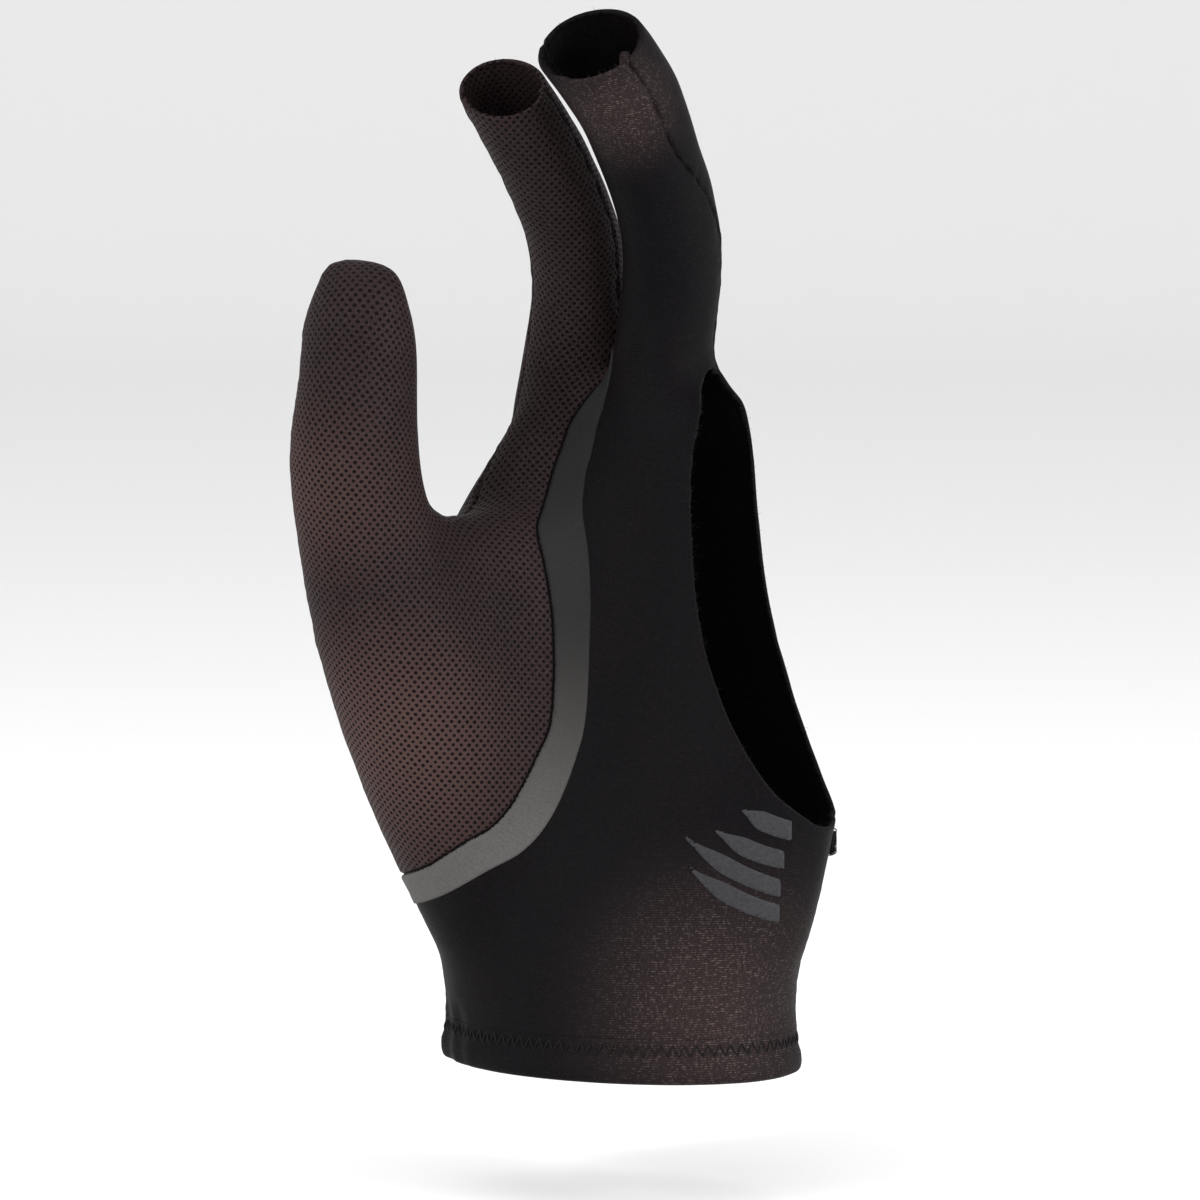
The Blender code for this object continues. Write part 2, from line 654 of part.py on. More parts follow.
def build():
    clear_scene()
    parts = bpy.data.collections.new("billiard_glove")
    guides = bpy.data.collections.new("cutters")
    for collection in (parts, guides):
        bpy.context.scene.collection.children.link(collection)

    form = hand_form(guides)
    sheet = seam_sheet_depths(form)
    limbs = limb_rows()
    index_centre = finger_centre(limbs["index"][0], INDEX_CUT_AT, PALM_HEIGHT)
    middle_centre = finger_centre(limbs["middle"][0], MIDDLE_CUT_AT, PALM_HEIGHT)
    top = PALM_HEIGHT + 2 * MIDDLE_LENGTH
    cutters = {
        "mesh cloth": mesh_cloth_prism("mesh_cloth", 0.0, guides),
        "mesh cloth grown": mesh_cloth_prism("mesh_cloth_grown", GAP, guides),
        "opening": opening_prism(guides),
        "band": band_prism(guides),
        "hem": slab("hem_slab", 0.0, HEM_HEIGHT, guides),
        "above hem": slab("above_hem", HEM_HEIGHT + GAP, top, guides),
        "index end": sleeve_end("index_end", index_centre, INDEX_CUT_LEAN, INDEX_CUT_TURN,
                                INDEX_HALF_WIDTH, guides),
        "middle end": sleeve_end("middle_end", middle_centre, MIDDLE_CUT_LEAN, MIDDLE_CUT_TURN,
                                 MIDDLE_HALF_WIDTH, guides),
        "palm half": half_space("palm_half", sheet, -1, guides),
        "back half": half_space("back_half", sheet, 1, guides),
    }
    mesh_cloth = material("mesh_cloth", (0.042, 0.026, 0.027), 0.85)
    knit_cloth = material("knit_cloth", (0.012, 0.010, 0.012), 0.55)
    tape = material("grey_tape", (0.085, 0.082, 0.080), 0.7)
    pieces = (
        (mesh_panel("palm_mesh_panel", form, "palm half", cutters, parts), mesh_cloth),
        (mesh_panel("back_mesh_panel", form, "back half", cutters, parts), mesh_cloth),
        (knit_panel("palm_knit_panel", form, "palm half", cutters, parts), knit_cloth),
        (knit_panel("back_knit_panel", form, "back half", cutters, parts), knit_cloth),
        (wrist_hem(form, cutters, parts), knit_cloth),
        (seam_band(form, cutters, parts, guides), tape),
        (side_seam_tab(form, sheet, parts), knit_cloth),
    )
    for ob, finish in pieces:
        ob.data.materials.clear()
        ob.data.materials.append(finish)
        for face in ob.data.polygons:
            face.use_smooth = True


build()
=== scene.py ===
"""Dresses the billiard glove: cloth panels, tape, print, stitches, lights and camera.

The tables and the lofts are those of the part's source, worked here at a finer grain.
"""

import math
from collections import namedtuple

import bmesh
import bpy
import numpy as np
from mathutils import Matrix, Vector
from mathutils.bvhtree import BVHTree


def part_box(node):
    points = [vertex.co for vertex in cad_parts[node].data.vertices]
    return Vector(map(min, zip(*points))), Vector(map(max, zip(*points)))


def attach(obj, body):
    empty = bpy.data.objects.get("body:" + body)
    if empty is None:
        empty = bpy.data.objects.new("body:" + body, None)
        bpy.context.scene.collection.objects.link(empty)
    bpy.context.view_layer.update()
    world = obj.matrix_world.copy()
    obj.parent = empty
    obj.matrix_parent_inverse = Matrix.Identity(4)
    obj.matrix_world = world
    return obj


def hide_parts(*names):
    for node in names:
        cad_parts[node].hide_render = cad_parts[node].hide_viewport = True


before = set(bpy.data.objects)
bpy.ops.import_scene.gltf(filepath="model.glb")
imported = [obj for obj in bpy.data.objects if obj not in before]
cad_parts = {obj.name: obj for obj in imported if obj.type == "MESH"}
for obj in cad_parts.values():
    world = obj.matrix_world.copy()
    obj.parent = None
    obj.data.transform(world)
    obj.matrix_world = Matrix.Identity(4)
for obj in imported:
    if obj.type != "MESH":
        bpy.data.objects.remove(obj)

MM = 0.001

# Cuff and palm
WRIST_HALF_WIDTH = 34.4 * MM
WRIST_HALF_DEPTH = 24.0 * MM
WRIST_TURN = math.radians(7.0)
CUFF_HEIGHT = 24.0 * MM
PALM_HALF_WIDTH = 42.5 * MM
PALM_HALF_DEPTH = 16.0 * MM
PALM_HEIGHT = 121.0 * MM
PALM_OFFSET = 8.8 * MM
KNUCKLE_SETBACK = 16.8 * MM

# Thumb stall and the web beside it
THUMB_SPREAD = 32.9 * MM
THUMB_REACH = 38.0 * MM
THUMB_HEIGHT = 145.8 * MM
THUMB_HALF_WIDTH = 11.6 * MM
WEB_EDGE_HEIGHT = 101.0 * MM
WEB_HALF_THICKNESS = 11.5 * MM

# Finger sleeves, open at their ends
FINGER_CURL = 34.0 * MM
INDEX_SIDE = 16.0 * MM
INDEX_LENGTH = 63.0 * MM
INDEX_HALF_WIDTH = 8.6 * MM
MIDDLE_SIDE = 5.0 * MM
MIDDLE_LENGTH = 67.0 * MM
MIDDLE_HALF_WIDTH = 9.2 * MM
INDEX_CUT_AT = 0.873
MIDDLE_CUT_AT = 0.935
INDEX_CUT_LEAN = math.radians(45.0)
INDEX_CUT_TURN = math.radians(19.0)
MIDDLE_CUT_LEAN = math.radians(46.0)
MIDDLE_CUT_TURN = math.radians(4.0)

# Hem, tape and the tab at the side seam
HEM_HEIGHT = 8.0 * MM
BAND_WIDTH = 5.8 * MM
TAB_WIDTH = 2.4 * MM
TAB_HEIGHT = 4.2 * MM
TAB_THICKNESS = 1.4 * MM

# The opening's edge lies further towards the thumb on the back of the hand
OPENING_SLANT = math.radians(9.0)

# The side seams run where the glove turns out of sight from this side
SEAM_VIEW_TURN = math.radians(35.0)

# Lofts, and the grain and the smoothing rounds of the one skin made of them
RING_SIDES = 28
ROW_STEPS = 4
GRAIN = 0.8 * MM
SOFTEN = round(30 * (1.5 * MM / GRAIN) ** 2)
STRETCH = round(120 * (1.5 * MM / GRAIN) ** 2)

# Seam lines: the sheet between the halves, the twist of the middle sleeve's seam and the finger gap
SHEET_STEP = 3.0 * MM
FILL_ROUNDS = 600
SHEET_SOFTEN = 4
LINE_STEPS = 10
SNAP = 0.02 * MM
LEAST_SLOPE = 0.25
SEAM_TWIST = 11.0 * MM
TWIST_FROM = 145.0 * MM
TWIST_TO = 172.0 * MM
FORK_POINTS = 12
FORK_LOW = 1.12
FORK_HIGH = 1.04

# Flat layout of the cloth, and the waves that make its unevenness
LAYOUT_FACES = 4400
LAYOUT_ROUNDS = 30
WAVE_COUNT = 7

# Rows of points cut beside each seam and edge, in millimetres from it
HALF_ROWS = (0.0, 0.3, -0.3, 0.8, -0.8)
EDGE_ROWS = (0.0, 0.25, 0.6, 1.0, -0.25, -0.6, -1.1)
TAPE_ROWS = (0.0, 0.3, 0.7)
OPEN_ROWS = (0.0, -0.2, -0.5, -1.0, -1.8)
HEM_ROWS = (0.0, 0.25, 0.7, 1.4, HEM_HEIGHT / MM)

# Small relief of the cloth; a groove is its width and its depth
SEAM_GROOVE = (0.45 * MM, 0.42 * MM)
EDGE_GROOVE = (0.34 * MM, 0.5 * MM)
EDGE_GROOVE_AT = 0.2 * MM
SEAM_PUCKER = (1.6 * MM, 0.10 * MM)
STITCH_GROOVE = (1.3 * MM, 0.10 * MM)
STITCH_GROOVE_AT = 6.2 * MM
UNEVEN_SIZE = 9.0 * MM
UNEVEN_HEIGHT = 0.05 * MM
FINE_SIZE = 2.4 * MM
FINE_SHARE = 0.25
KNIT_ROLL = 0.5 * MM
MESH_ROLL = 0.45 * MM
HEM_ROLL = 0.9 * MM
HEM_SWELL = 0.35 * MM
HEM_SWELL_HEIGHT = 5.0 * MM
PUCKER_SIZE = 4.2 * MM
PUCKER_HEIGHT = 0.34 * MM

# Walls of the cloths, and how far tape and print stand off them
MESH_THICK = 0.7 * MM
KNIT_THICK = 0.9 * MM
HEM_THICK = 1.9 * MM
TAPE_START = 0.45 * MM
TAPE_LIFT = 0.32 * MM
TAPE_ROLL = 0.3 * MM
TAPE_SUNK = 0.1 * MM
PRINT_LIFT = 0.08 * MM
PRINT_SUNK = 0.04 * MM

# Weave of mesh, knit and tape
HOLE_PITCH = 1.45 * MM
HOLE_ROW = 0.82 * MM
STRAND_PITCH = 0.62 * MM
HOLE_HALF_WIDTH = 0.33 * MM
HOLE_HALF_HEIGHT = 0.29 * MM
COURSE_PITCH = 0.42 * MM
WALE_PITCH = 0.38 * MM
FLECK_SIZE = 0.36 * MM
RIB_PITCH = 0.55 * MM

# Stitches, stray fibres and the nubs at the seam ends
STITCH_HEIGHT = 6.1 * MM
STITCH_PITCH = 2.1 * MM
STITCH_RISE = 2.2 * MM
THREAD_RADIUS = 0.13 * MM
THREAD_SIDES = 6
HEM_RING_POINTS = 721
STITCH_POINTS = 8
FIBRE_RADIUS = 0.035 * MM
FIBRE_LENGTH = 0.9 * MM
FIBRE_SIDES = 3
FIBRE_POINTS = 5
KNIT_FIBRES = 2500
MESH_FIBRES = 1800
NUB_SQUARENESS = 0.72
NUB_WRAPS = 9
WRAP_POINTS = 12
WRAP_REACH = 1.9
SIDE_NUB_INWARD = 0.9 * MM
SIDE_NUB_UP = 1.3 * MM
SLEEVE_NUB_SHRINK = 0.62

# Corners of the thumb stall's tip: which way each points as it is seen, its size and its radius
Corner = namedtuple("Corner", "aside up size radius")
THUMB_CORNERS = (
    Corner(-0.62, 0.78, 1.3 * MM, 4.2 * MM),
    Corner(0.66, 0.75, 0.7 * MM, 4.0 * MM),
)
THUMB_TIP_ASIDE = -32.0 * MM
THUMB_TIP_UP = 120.0 * MM

# Printed bars, seen square to the side seams' view: ends, half width and bend
Bar = namedtuple("Bar", "left left_up right right_up half_width sag")
BARS = (
    Bar(0.0119, 0.0386, 0.0278, 0.0303, 0.00165, 0.0009),
    Bar(0.0114, 0.0438, 0.0280, 0.0349, 0.00160, 0.0009),
    Bar(0.0166, 0.0452, 0.0286, 0.0400, 0.00165, 0.0006),
    Bar(0.0212, 0.0490, 0.0299, 0.0452, 0.00175, 0.0004),
)

# View and lights
VIEW_AZIMUTH = math.radians(35.0)
VIEW_ELEVATION = math.radians(5.0)
VIEW_DISTANCE = 1.1
VIEW_SPAN = 0.216
VIEW_TARGET = (-0.00324, -0.00227, 0.084)
FLOOR_BELOW = 0.024
Light = namedtuple("Light", "name turn rise away wide high power")
LIGHTS = (
    Light("left_softbox", -50, 25, 1.2, 0.35, 0.6, 9),
    Light("right_softbox", 62, 14, 1.2, 0.30, 0.8, 12),
    Light("top_softbox", 10, 75, 1.4, 1.0, 1.0, 4),
)
WORLD_STRENGTH = 0.85
SENSOR_WIDTH = 36.0

# Painted highlight patches, paler where the light falls on the cloth as sheen: centre and radius in
# millimetres, and how far each takes its colour
Patch = namedtuple("Patch", "centre radius share")
MESH_HIGHLIGHT_PATCHES = (
    Patch((-24, -42, 58), 36.0, 1.0),
    Patch((-34, -44, 105), 26.0, 0.6),
)
KNIT_HIGHLIGHT_PATCHES = (
    Patch((31, -14, 14), 36.0, 1.0),
    Patch((8, -14, 172), 17.0, 1.0),
    Patch((2, -17, 82), 9.0, 0.5),
)

# Colours, as linear red, green and blue
MESH_DARK = (0.0120, 0.0066, 0.0074)
MESH_LIGHT = (0.0175, 0.0098, 0.0108)
# painted highlight colour of the mesh's highlight patches
MESH_PAINTED_HIGHLIGHT = (0.060, 0.033, 0.029)
MESH_FUZZ = (0.062, 0.044, 0.042)
# painted shade: the dark of the glove's inside, seen through the mesh's holes, is painted into them
MESH_HOLE_SHADE = (0.003, 0.002, 0.0025)
KNIT_DARK = (0.0022, 0.0019, 0.0026)
KNIT_LIGHT = (0.0026, 0.0020, 0.0025)
# painted highlight colour of the knit's highlight patches, a brown sheen
KNIT_PAINTED_HIGHLIGHT = (0.021, 0.0140, 0.0142)
# bright colour of the knit's flecks, a painted glint
KNIT_PAINTED_GLINT = (0.095, 0.068, 0.064)
# the tape's tone runs from paler low down to darker towards the fingers, as painted light and painted
# shade
TAPE_PAINTED_LIGHT_LOW = (0.085, 0.081, 0.078)
TAPE_PAINTED_SHADE_HIGH = (0.0105, 0.010, 0.0098)
TAPE_GRAIN = (0.02, 0.02, 0.02)
PRINT_FULL = (0.030, 0.029, 0.032)
PRINT_WORN = (0.018, 0.0175, 0.019)
THREAD_DARK = (0.002, 0.0018, 0.002)
THREAD_LIGHT = (0.009, 0.0075, 0.0078)

Row = namedtuple("Row", "side forward up wide deep turn")
SeamPoint = namedtuple("SeamPoint", "side up band")
EdgePoint = namedtuple("EdgePoint", "side up")

# Shares of WRIST_HALF_WIDTH, WRIST_HALF_DEPTH, CUFF_HEIGHT and WRIST_TURN
CUFF_ROWS = (
    Row(0.00, 0.00, -0.58, 1.00, 1.00, 1.00),
    Row(0.00, 0.00, 0.00, 1.00, 1.00, 1.00),
    Row(-0.01, 0.00, 0.40, 0.98, 0.97, 1.00),
    Row(-0.015, 0.00, 1.00, 1.04, 0.93, 0.86),
)
# Shares of PALM_OFFSET, KNUCKLE_SETBACK, PALM_HEIGHT, PALM_HALF_WIDTH, PALM_HALF_DEPTH, WRIST_TURN
PALM_ROWS = (
    Row(0.18, -0.10, 0.30, 0.88, 1.28, 0.57),
    Row(0.33, -0.24, 0.42, 0.92, 1.18, 0.29),
    Row(0.48, -0.44, 0.54, 0.95, 1.08, 0.00),
    Row(0.73, -0.70, 0.69, 1.00, 0.99, 0.00),
    Row(0.88, -0.89, 0.84, 1.00, 0.91, 0.00),
    Row(0.97, -0.96, 0.92, 0.97, 0.83, 0.00),
    Row(0.95, -0.95, 1.00, 0.80, 0.52, 0.00),
)
# Shares of THUMB_SPREAD, THUMB_REACH, THUMB_HEIGHT and THUMB_HALF_WIDTH
THUMB_ROWS = (
    Row(-0.43, 0.05, 0.10, 1.12, 1.12, 0),
    Row(-0.52, 0.18, 0.17, 1.38, 1.38, 0),
    Row(-0.60, 0.27, 0.25, 1.48, 1.51, 0),
    Row(-0.72, 0.41, 0.35, 1.50, 1.55, 0),
    Row(-0.82, 0.56, 0.45, 1.48, 1.47, 0),
    Row(-0.89, 0.69, 0.53, 1.40, 1.33, 0),
    Row(-0.95, 0.80, 0.60, 1.23, 1.17, 0),
    Row(-0.98, 0.88, 0.66, 1.11, 1.05, 0),
    Row(-1.00, 0.94, 0.73, 1.04, 1.00, 0),
    Row(-0.98, 0.97, 0.79, 1.00, 0.99, 0),
    Row(-0.95, 0.98, 0.84, 0.94, 0.92, 0),
    Row(-0.94, 0.98, 0.88, 0.94, 0.88, 0),
    Row(-0.93, 0.99, 0.92, 0.90, 0.81, 0),
    Row(-0.91, 1.00, 0.955, 0.79, 0.67, 0),
    Row(-0.91, 1.00, 0.983, 0.59, 0.43, 0),
    Row(-0.91, 1.00, 1.00, 0.26, 0.16, 0),
)
# Shares of INDEX_SIDE, FINGER_CURL, INDEX_LENGTH above the palm, and INDEX_HALF_WIDTH
INDEX_ROWS = (
    Row(-1.00, 0.04, -0.65, 1.16, 1.05, 0),
    Row(-1.22, 0.04, -0.33, 1.26, 1.40, 0),
    Row(-1.35, 0.07, -0.12, 1.21, 1.40, 0),
    Row(-1.27, 0.09, 0.08, 1.08, 1.19, 0),
    Row(-1.11, 0.14, 0.28, 1.02, 1.11, 0),
    Row(-1.01, 0.25, 0.43, 1.01, 1.07, 0),
    Row(-0.99, 0.42, 0.57, 1.00, 1.02, 0),
    Row(-1.01, 0.60, 0.70, 0.99, 0.98, 0),
    Row(-1.10, 0.77, 0.82, 0.97, 0.93, 0),
    Row(-1.15, 0.88, 0.90, 0.94, 0.88, 0),
    Row(-1.21, 1.02, 1.00, 0.92, 0.86, 0),
)
# Shares of MIDDLE_SIDE, FINGER_CURL, MIDDLE_LENGTH above the palm, and MIDDLE_HALF_WIDTH
MIDDLE_ROWS = (
    Row(-0.30, 0.05, -0.61, 1.07, 0.98, 0),
    Row(-0.44, 0.07, -0.22, 1.07, 1.35, 0),
    Row(-0.24, 0.08, -0.03, 1.01, 1.20, 0),
    Row(0.04, 0.11, 0.13, 0.98, 1.09, 0),
    Row(0.44, 0.14, 0.25, 0.98, 1.04, 0),
    Row(0.88, 0.21, 0.38, 0.99, 1.03, 0),
    Row(1.06, 0.33, 0.52, 1.00, 1.01, 0),
    Row(1.10, 0.49, 0.65, 1.04, 0.98, 0),
    Row(1.08, 0.67, 0.79, 1.11, 1.01, 0),
    Row(0.72, 0.825, 0.89, 1.14, 1.02, 0),
    Row(0.26, 1.03, 1.00, 1.12, 0.98, 0),
)
# Shares of THUMB_SPREAD, THUMB_REACH, WEB_EDGE_HEIGHT (twice) and WEB_HALF_THICKNESS
WEB_ROWS = (
    Row(-0.94, 0.76, 0.76, 0.217, 1.04, 0),
    Row(-0.73, 0.47, 0.753, 0.237, 1.00, 0),
    Row(-0.52, 0.18, 0.753, 0.247, 1.00, 0),
    Row(-0.30, -0.08, 0.784, 0.237, 1.00, 0),
    Row(-0.12, -0.26, 0.825, 0.227, 0.96, 0),
)
# Shares of THUMB_SPREAD, THUMB_REACH, PALM_HEIGHT and WEB_HALF_THICKNESS
WEB_BACK_ROWS = (
    Row(-0.67, 0.08, 0.215, 0.78, 0.78, 0),
    Row(-0.79, 0.13, 0.413, 1.09, 1.04, 0),
    Row(-0.85, 0.16, 0.579, 1.09, 1.04, 0),
    Row(-0.82, 0.16, 0.711, 0.87, 0.78, 0),
    Row(-0.75, 0.08, 0.810, 0.70, 0.61, 0),
    Row(-0.67, -0.07, 0.893, 0.61, 0.61, 0),
    Row(-0.61, -0.20, 0.975, 0.52, 0.52, 0),
    Row(-0.56, -0.28, 1.041, 0.44, 0.52, 0),
)
# Where the mesh cloth meets the knit, as shares of PALM_HALF_WIDTH and PALM_HEIGHT, from the thumb
# side to the fork of the fingers; band is the share of BAND_WIDTH that the tape has there
MESH_EDGE = (
    SeamPoint(-1.40, 0.248, 1.00),
    SeamPoint(-0.87, 0.277, 1.00),
    SeamPoint(-0.54, 0.306, 1.00),
    SeamPoint(-0.303, 0.355, 1.05),
    SeamPoint(-0.236, 0.3725, 1.05),
    SeamPoint(-0.190, 0.400, 1.05),
    SeamPoint(-0.159, 0.436, 1.05),
    SeamPoint(-0.138, 0.479, 1.05),
    SeamPoint(-0.125, 0.522, 1.00),
    SeamPoint(-0.148, 0.628, 0.93),
    SeamPoint(-0.172, 0.692, 0.95),
    SeamPoint(-0.219, 0.755, 1.00),
    SeamPoint(-0.299, 0.819, 1.03),
    SeamPoint(-0.339, 0.875, 1.05),
    SeamPoint(-0.334, 0.919, 1.05),
    SeamPoint(-0.322, 0.956, 1.00),
    SeamPoint(-0.275, 0.995, 0.80),
    SeamPoint(-0.226, 1.023, 0.50),
    SeamPoint(-0.165, 1.065, 0.08),
)
# Edge of the little-finger side opening, as shares of PALM_HALF_WIDTH and PALM_HEIGHT, from the
# fork of the fingers down to the side seam
OPENING_EDGE = (
    EdgePoint(0.520, 1.105),
    EdgePoint(0.360, 1.082),
    EdgePoint(0.285, 1.050),
    EdgePoint(0.285, 1.012),
    EdgePoint(0.315, 0.979),
    EdgePoint(0.319, 0.936),
    EdgePoint(0.326, 0.884),
    EdgePoint(0.352, 0.813),
    EdgePoint(0.412, 0.708),
    EdgePoint(0.485, 0.633),
    EdgePoint(0.521, 0.606),
    EdgePoint(0.605, 0.548),
    EdgePoint(0.704, 0.492),
    EdgePoint(0.760, 0.463),
    EdgePoint(0.833, 0.429),
    EdgePoint(0.925, 0.396),
    EdgePoint(0.990, 0.371),
    EdgePoint(1.080, 0.362),
)


def smooth_through(points, steps):
    """Catmull-Rom curve through the points, with steps stretches between neighbours."""
    p = np.array(points, float)
    p = np.vstack([2 * p[0] - p[1], p, 2 * p[-1] - p[-2]])
    out = []
    for i in range(1, len(p) - 2):
        a, b, c, d = p[i - 1:i + 3]
        for t in np.arange(steps) / steps:
            out.append(0.5 * (2 * b + (c - a) * t + (2 * a - 5 * b + 4 * c - d) * t ** 2
                              + (3 * b - a - 3 * c + d) * t ** 3))
    out.append(p[-2])
    return np.array(out)


def real_rows(rows, side, forward, up, wide, deep, start=(0, 0, 0), turn=0.0):
    """Section rows in metres: each share times the named size that it follows."""
    x0, y0, z0 = start
    return [(x0 + r.side * side, y0 - r.forward * forward, z0 + r.up * up,
             r.wide * wide, r.deep * deep, r.turn * turn) for r in rows]


def limb_rows():
    """The rows of every limb, by name, each with the direction of its sections' width."""
    knuckles = (0, KNUCKLE_SETBACK, PALM_HEIGHT)
    width, height = Vector((1, 0, 0)), Vector((0, 0, 1))
    cuff = real_rows(CUFF_ROWS, WRIST_HALF_WIDTH, WRIST_HALF_DEPTH, CUFF_HEIGHT,
                     WRIST_HALF_WIDTH, WRIST_HALF_DEPTH, turn=WRIST_TURN)
    palm = real_rows(PALM_ROWS, PALM_OFFSET, KNUCKLE_SETBACK, PALM_HEIGHT,
                     PALM_HALF_WIDTH, PALM_HALF_DEPTH, turn=WRIST_TURN)
    return {
        "palm": (cuff + palm, width),
        "thumb": (real_rows(THUMB_ROWS, THUMB_SPREAD, THUMB_REACH, THUMB_HEIGHT,
                            THUMB_HALF_WIDTH, THUMB_HALF_WIDTH), width),
        "index": (real_rows(INDEX_ROWS, INDEX_SIDE, FINGER_CURL, INDEX_LENGTH,
                            INDEX_HALF_WIDTH, INDEX_HALF_WIDTH, knuckles), width),
        "middle": (real_rows(MIDDLE_ROWS, MIDDLE_SIDE, FINGER_CURL, MIDDLE_LENGTH,
                             MIDDLE_HALF_WIDTH, MIDDLE_HALF_WIDTH, knuckles), width),
        "web": (real_rows(WEB_ROWS, THUMB_SPREAD, THUMB_REACH, WEB_EDGE_HEIGHT,
                          WEB_EDGE_HEIGHT, WEB_HALF_THICKNESS), height),
        "web back": (real_rows(WEB_BACK_ROWS, THUMB_SPREAD, THUMB_REACH, PALM_HEIGHT,
                               WEB_HALF_THICKNESS, WEB_HALF_THICKNESS), width),
    }


def add_limb(bm, rows, width_axis):
    """Loft of elliptical rings through the rows, square to the limb's centre line, with flat ends."""
    rows = smooth_through(rows, ROW_STEPS)
    centres = rows[:, :3]
    ways = np.gradient(centres, axis=0)
    rings = []
    for centre, way, (wide, deep, turn) in zip(centres, ways, rows[:, 3:]):
        along = Vector(way).normalized()
        across = (width_axis - along * width_axis.dot(along)).normalized()
        depth = along.cross(across)
        u = across * math.cos(turn) + depth * math.sin(turn)
        v = depth * math.cos(turn) - across * math.sin(turn)
        ring = []
        for k in range(RING_SIDES):
            angle = 2 * math.pi * k / RING_SIDES
            ring.append(bm.verts.new(Vector(centre) + u * wide * math.cos(angle)
                                     + v * deep * math.sin(angle)))
        rings.append(ring)
    for lower, upper in zip(rings, rings[1:]):
        for k in range(RING_SIDES):
            n = (k + 1) % RING_SIDES
            bm.faces.new((lower[k], lower[n], upper[n], upper[k]))
    bm.faces.new(list(reversed(rings[0])))
    bm.faces.new(rings[-1])


def seen(points):
    """How far across and how deep points lie, as seen from the side that shows both side seams."""
    c, s = math.cos(SEAM_VIEW_TURN), math.sin(SEAM_VIEW_TURN)
    return points[:, 0] * c + points[:, 1] * s, points[:, 1] * c - points[:, 0] * s


class Skin:
    """A triangle mesh with values at its points, which can be cut along lines of equal value."""

    def __init__(self, points, triangles, values):
        self.points = points
        self.triangles = triangles
        self.values = values

    def cut(self, level):
        """New points where the level crosses zero, so that no triangle lies on both sides of it."""
        level = np.where(abs(level) < SNAP, 0.0, level)
        side = np.sign(level)
        tri = self.triangles
        pairs = np.sort(np.concatenate([tri[:, [0, 1]], tri[:, [1, 2]], tri[:, [2, 0]]]), axis=1)
        keys = pairs[:, 0].astype(np.int64) * len(self.points) + pairs[:, 1]
        unique, where = np.unique(keys, return_inverse=True)
        first, second = unique // len(self.points), unique % len(self.points)
        crossed = side[first] * side[second] < 0
        number = np.full(len(unique), -1)
        number[crossed] = len(self.points) + np.arange(crossed.sum())
        first, second = first[crossed], second[crossed]
        share = level[first] / (level[first] - level[second])
        self.points = np.vstack([self.points, self.points[first]
                                 + (self.points[second] - self.points[first]) * share[:, None]])
        for name, value in self.values.items():
            step = share if value.ndim == 1 else share[:, None]
            mixed = value[first] + (value[second] - value[first]) * step
            self.values[name] = np.concatenate([value, mixed])
        at = number[where.reshape(3, -1).T]
        count = (at >= 0).sum(1)
        made = [tri[count == 0]]
        for k in range(3):
            a, b, c = tri[:, k], tri[:, (k + 1) % 3], tri[:, (k + 2) % 3]
            far = at[:, (k + 1) % 3]
            one = (count == 1) & (far >= 0)
            made.append(np.stack([a, b, far], 1)[one])
            made.append(np.stack([a, far, c], 1)[one])
            near, back = at[:, k], at[:, (k + 2) % 3]
            two = (count == 2) & (far < 0)
            made.append(np.stack([a, near, back], 1)[two])
            made.append(np.stack([near, b, c], 1)[two])
            made.append(np.stack([near, c, back], 1)[two])
        self.triangles = np.concatenate(made)

    def middle_of(self, value):
        """The value at the middle of each triangle."""
        return value[self.triangles].mean(1)

    def part(self, wanted):
        """The wanted triangles alone, as a skin of their own."""
        tri = self.triangles[wanted]
        used, back = np.unique(tri, return_inverse=True)
        return Skin(self.points[used], back.reshape(-1, 3),
                    {name: value[used] for name, value in self.values.items()})


def outline_distance(points, line):
    """Signed distance to a line in the plane, positive on its right side, and the place along it."""
    a, b = line[:-1], line[1:]
    way = b - a
    length = np.linalg.norm(way, axis=1)
    start = np.concatenate([[0.0], np.cumsum(length)[:-1]])
    best = np.full(len(points), np.inf)
    signed = np.zeros(len(points))
    along = np.zeros(len(points))
    for i in range(len(a)):
        rel = points - a[i]
        t = np.clip(rel @ way[i] / length[i] ** 2, 0, 1)
        off = rel - t[:, None] * way[i]
        distance = np.linalg.norm(off, axis=1)
        nearer = distance < best
        best = np.where(nearer, distance, best)
        turn = rel[:, 0] * way[i, 1] - rel[:, 1] * way[i, 0]
        signed = np.where(nearer, np.sign(turn) * distance, signed)
        along = np.where(nearer, start[i] + t * length[i], along)
    return signed, along


def mesh_arrays(mesh):
    """Points, edges and four-sided faces of a mesh, as arrays."""
    points = np.zeros(len(mesh.vertices) * 3)
    mesh.vertices.foreach_get("co", points)
    edges = np.zeros(len(mesh.edges) * 2, int)
    mesh.edges.foreach_get("vertices", edges)
    loops = np.zeros(len(mesh.loops), int)
    mesh.loops.foreach_get("vertex_index", loops)
    return points.reshape(-1, 3), edges.reshape(-1, 2), loops.reshape(-1, 4)


def mean_of_neighbours(v, edges, degree):
    total = np.zeros_like(v)
    for c in range(v.shape[1]):
        total[:, c] = (np.bincount(edges[:, 0], weights=v[edges[:, 1], c], minlength=len(v))
                       + np.bincount(edges[:, 1], weights=v[edges[:, 0], c], minlength=len(v)))
    return total / degree


def summed_at_points(faces, amounts, count):
    """Each face's amount added up at its points."""
    total = np.zeros((count, amounts.shape[1]))
    for corner in range(faces.shape[1]):
        for c in range(amounts.shape[1]):
            total[:, c] += np.bincount(faces[:, corner], weights=amounts[:, c], minlength=count)
    return total


def quad_normals(v, quads):
    face = np.cross(v[quads[:, 2]] - v[quads[:, 0]], v[quads[:, 3]] - v[quads[:, 1]])
    normal = summed_at_points(quads, face, len(v))
    return normal / np.linalg.norm(normal, axis=1)[:, None]


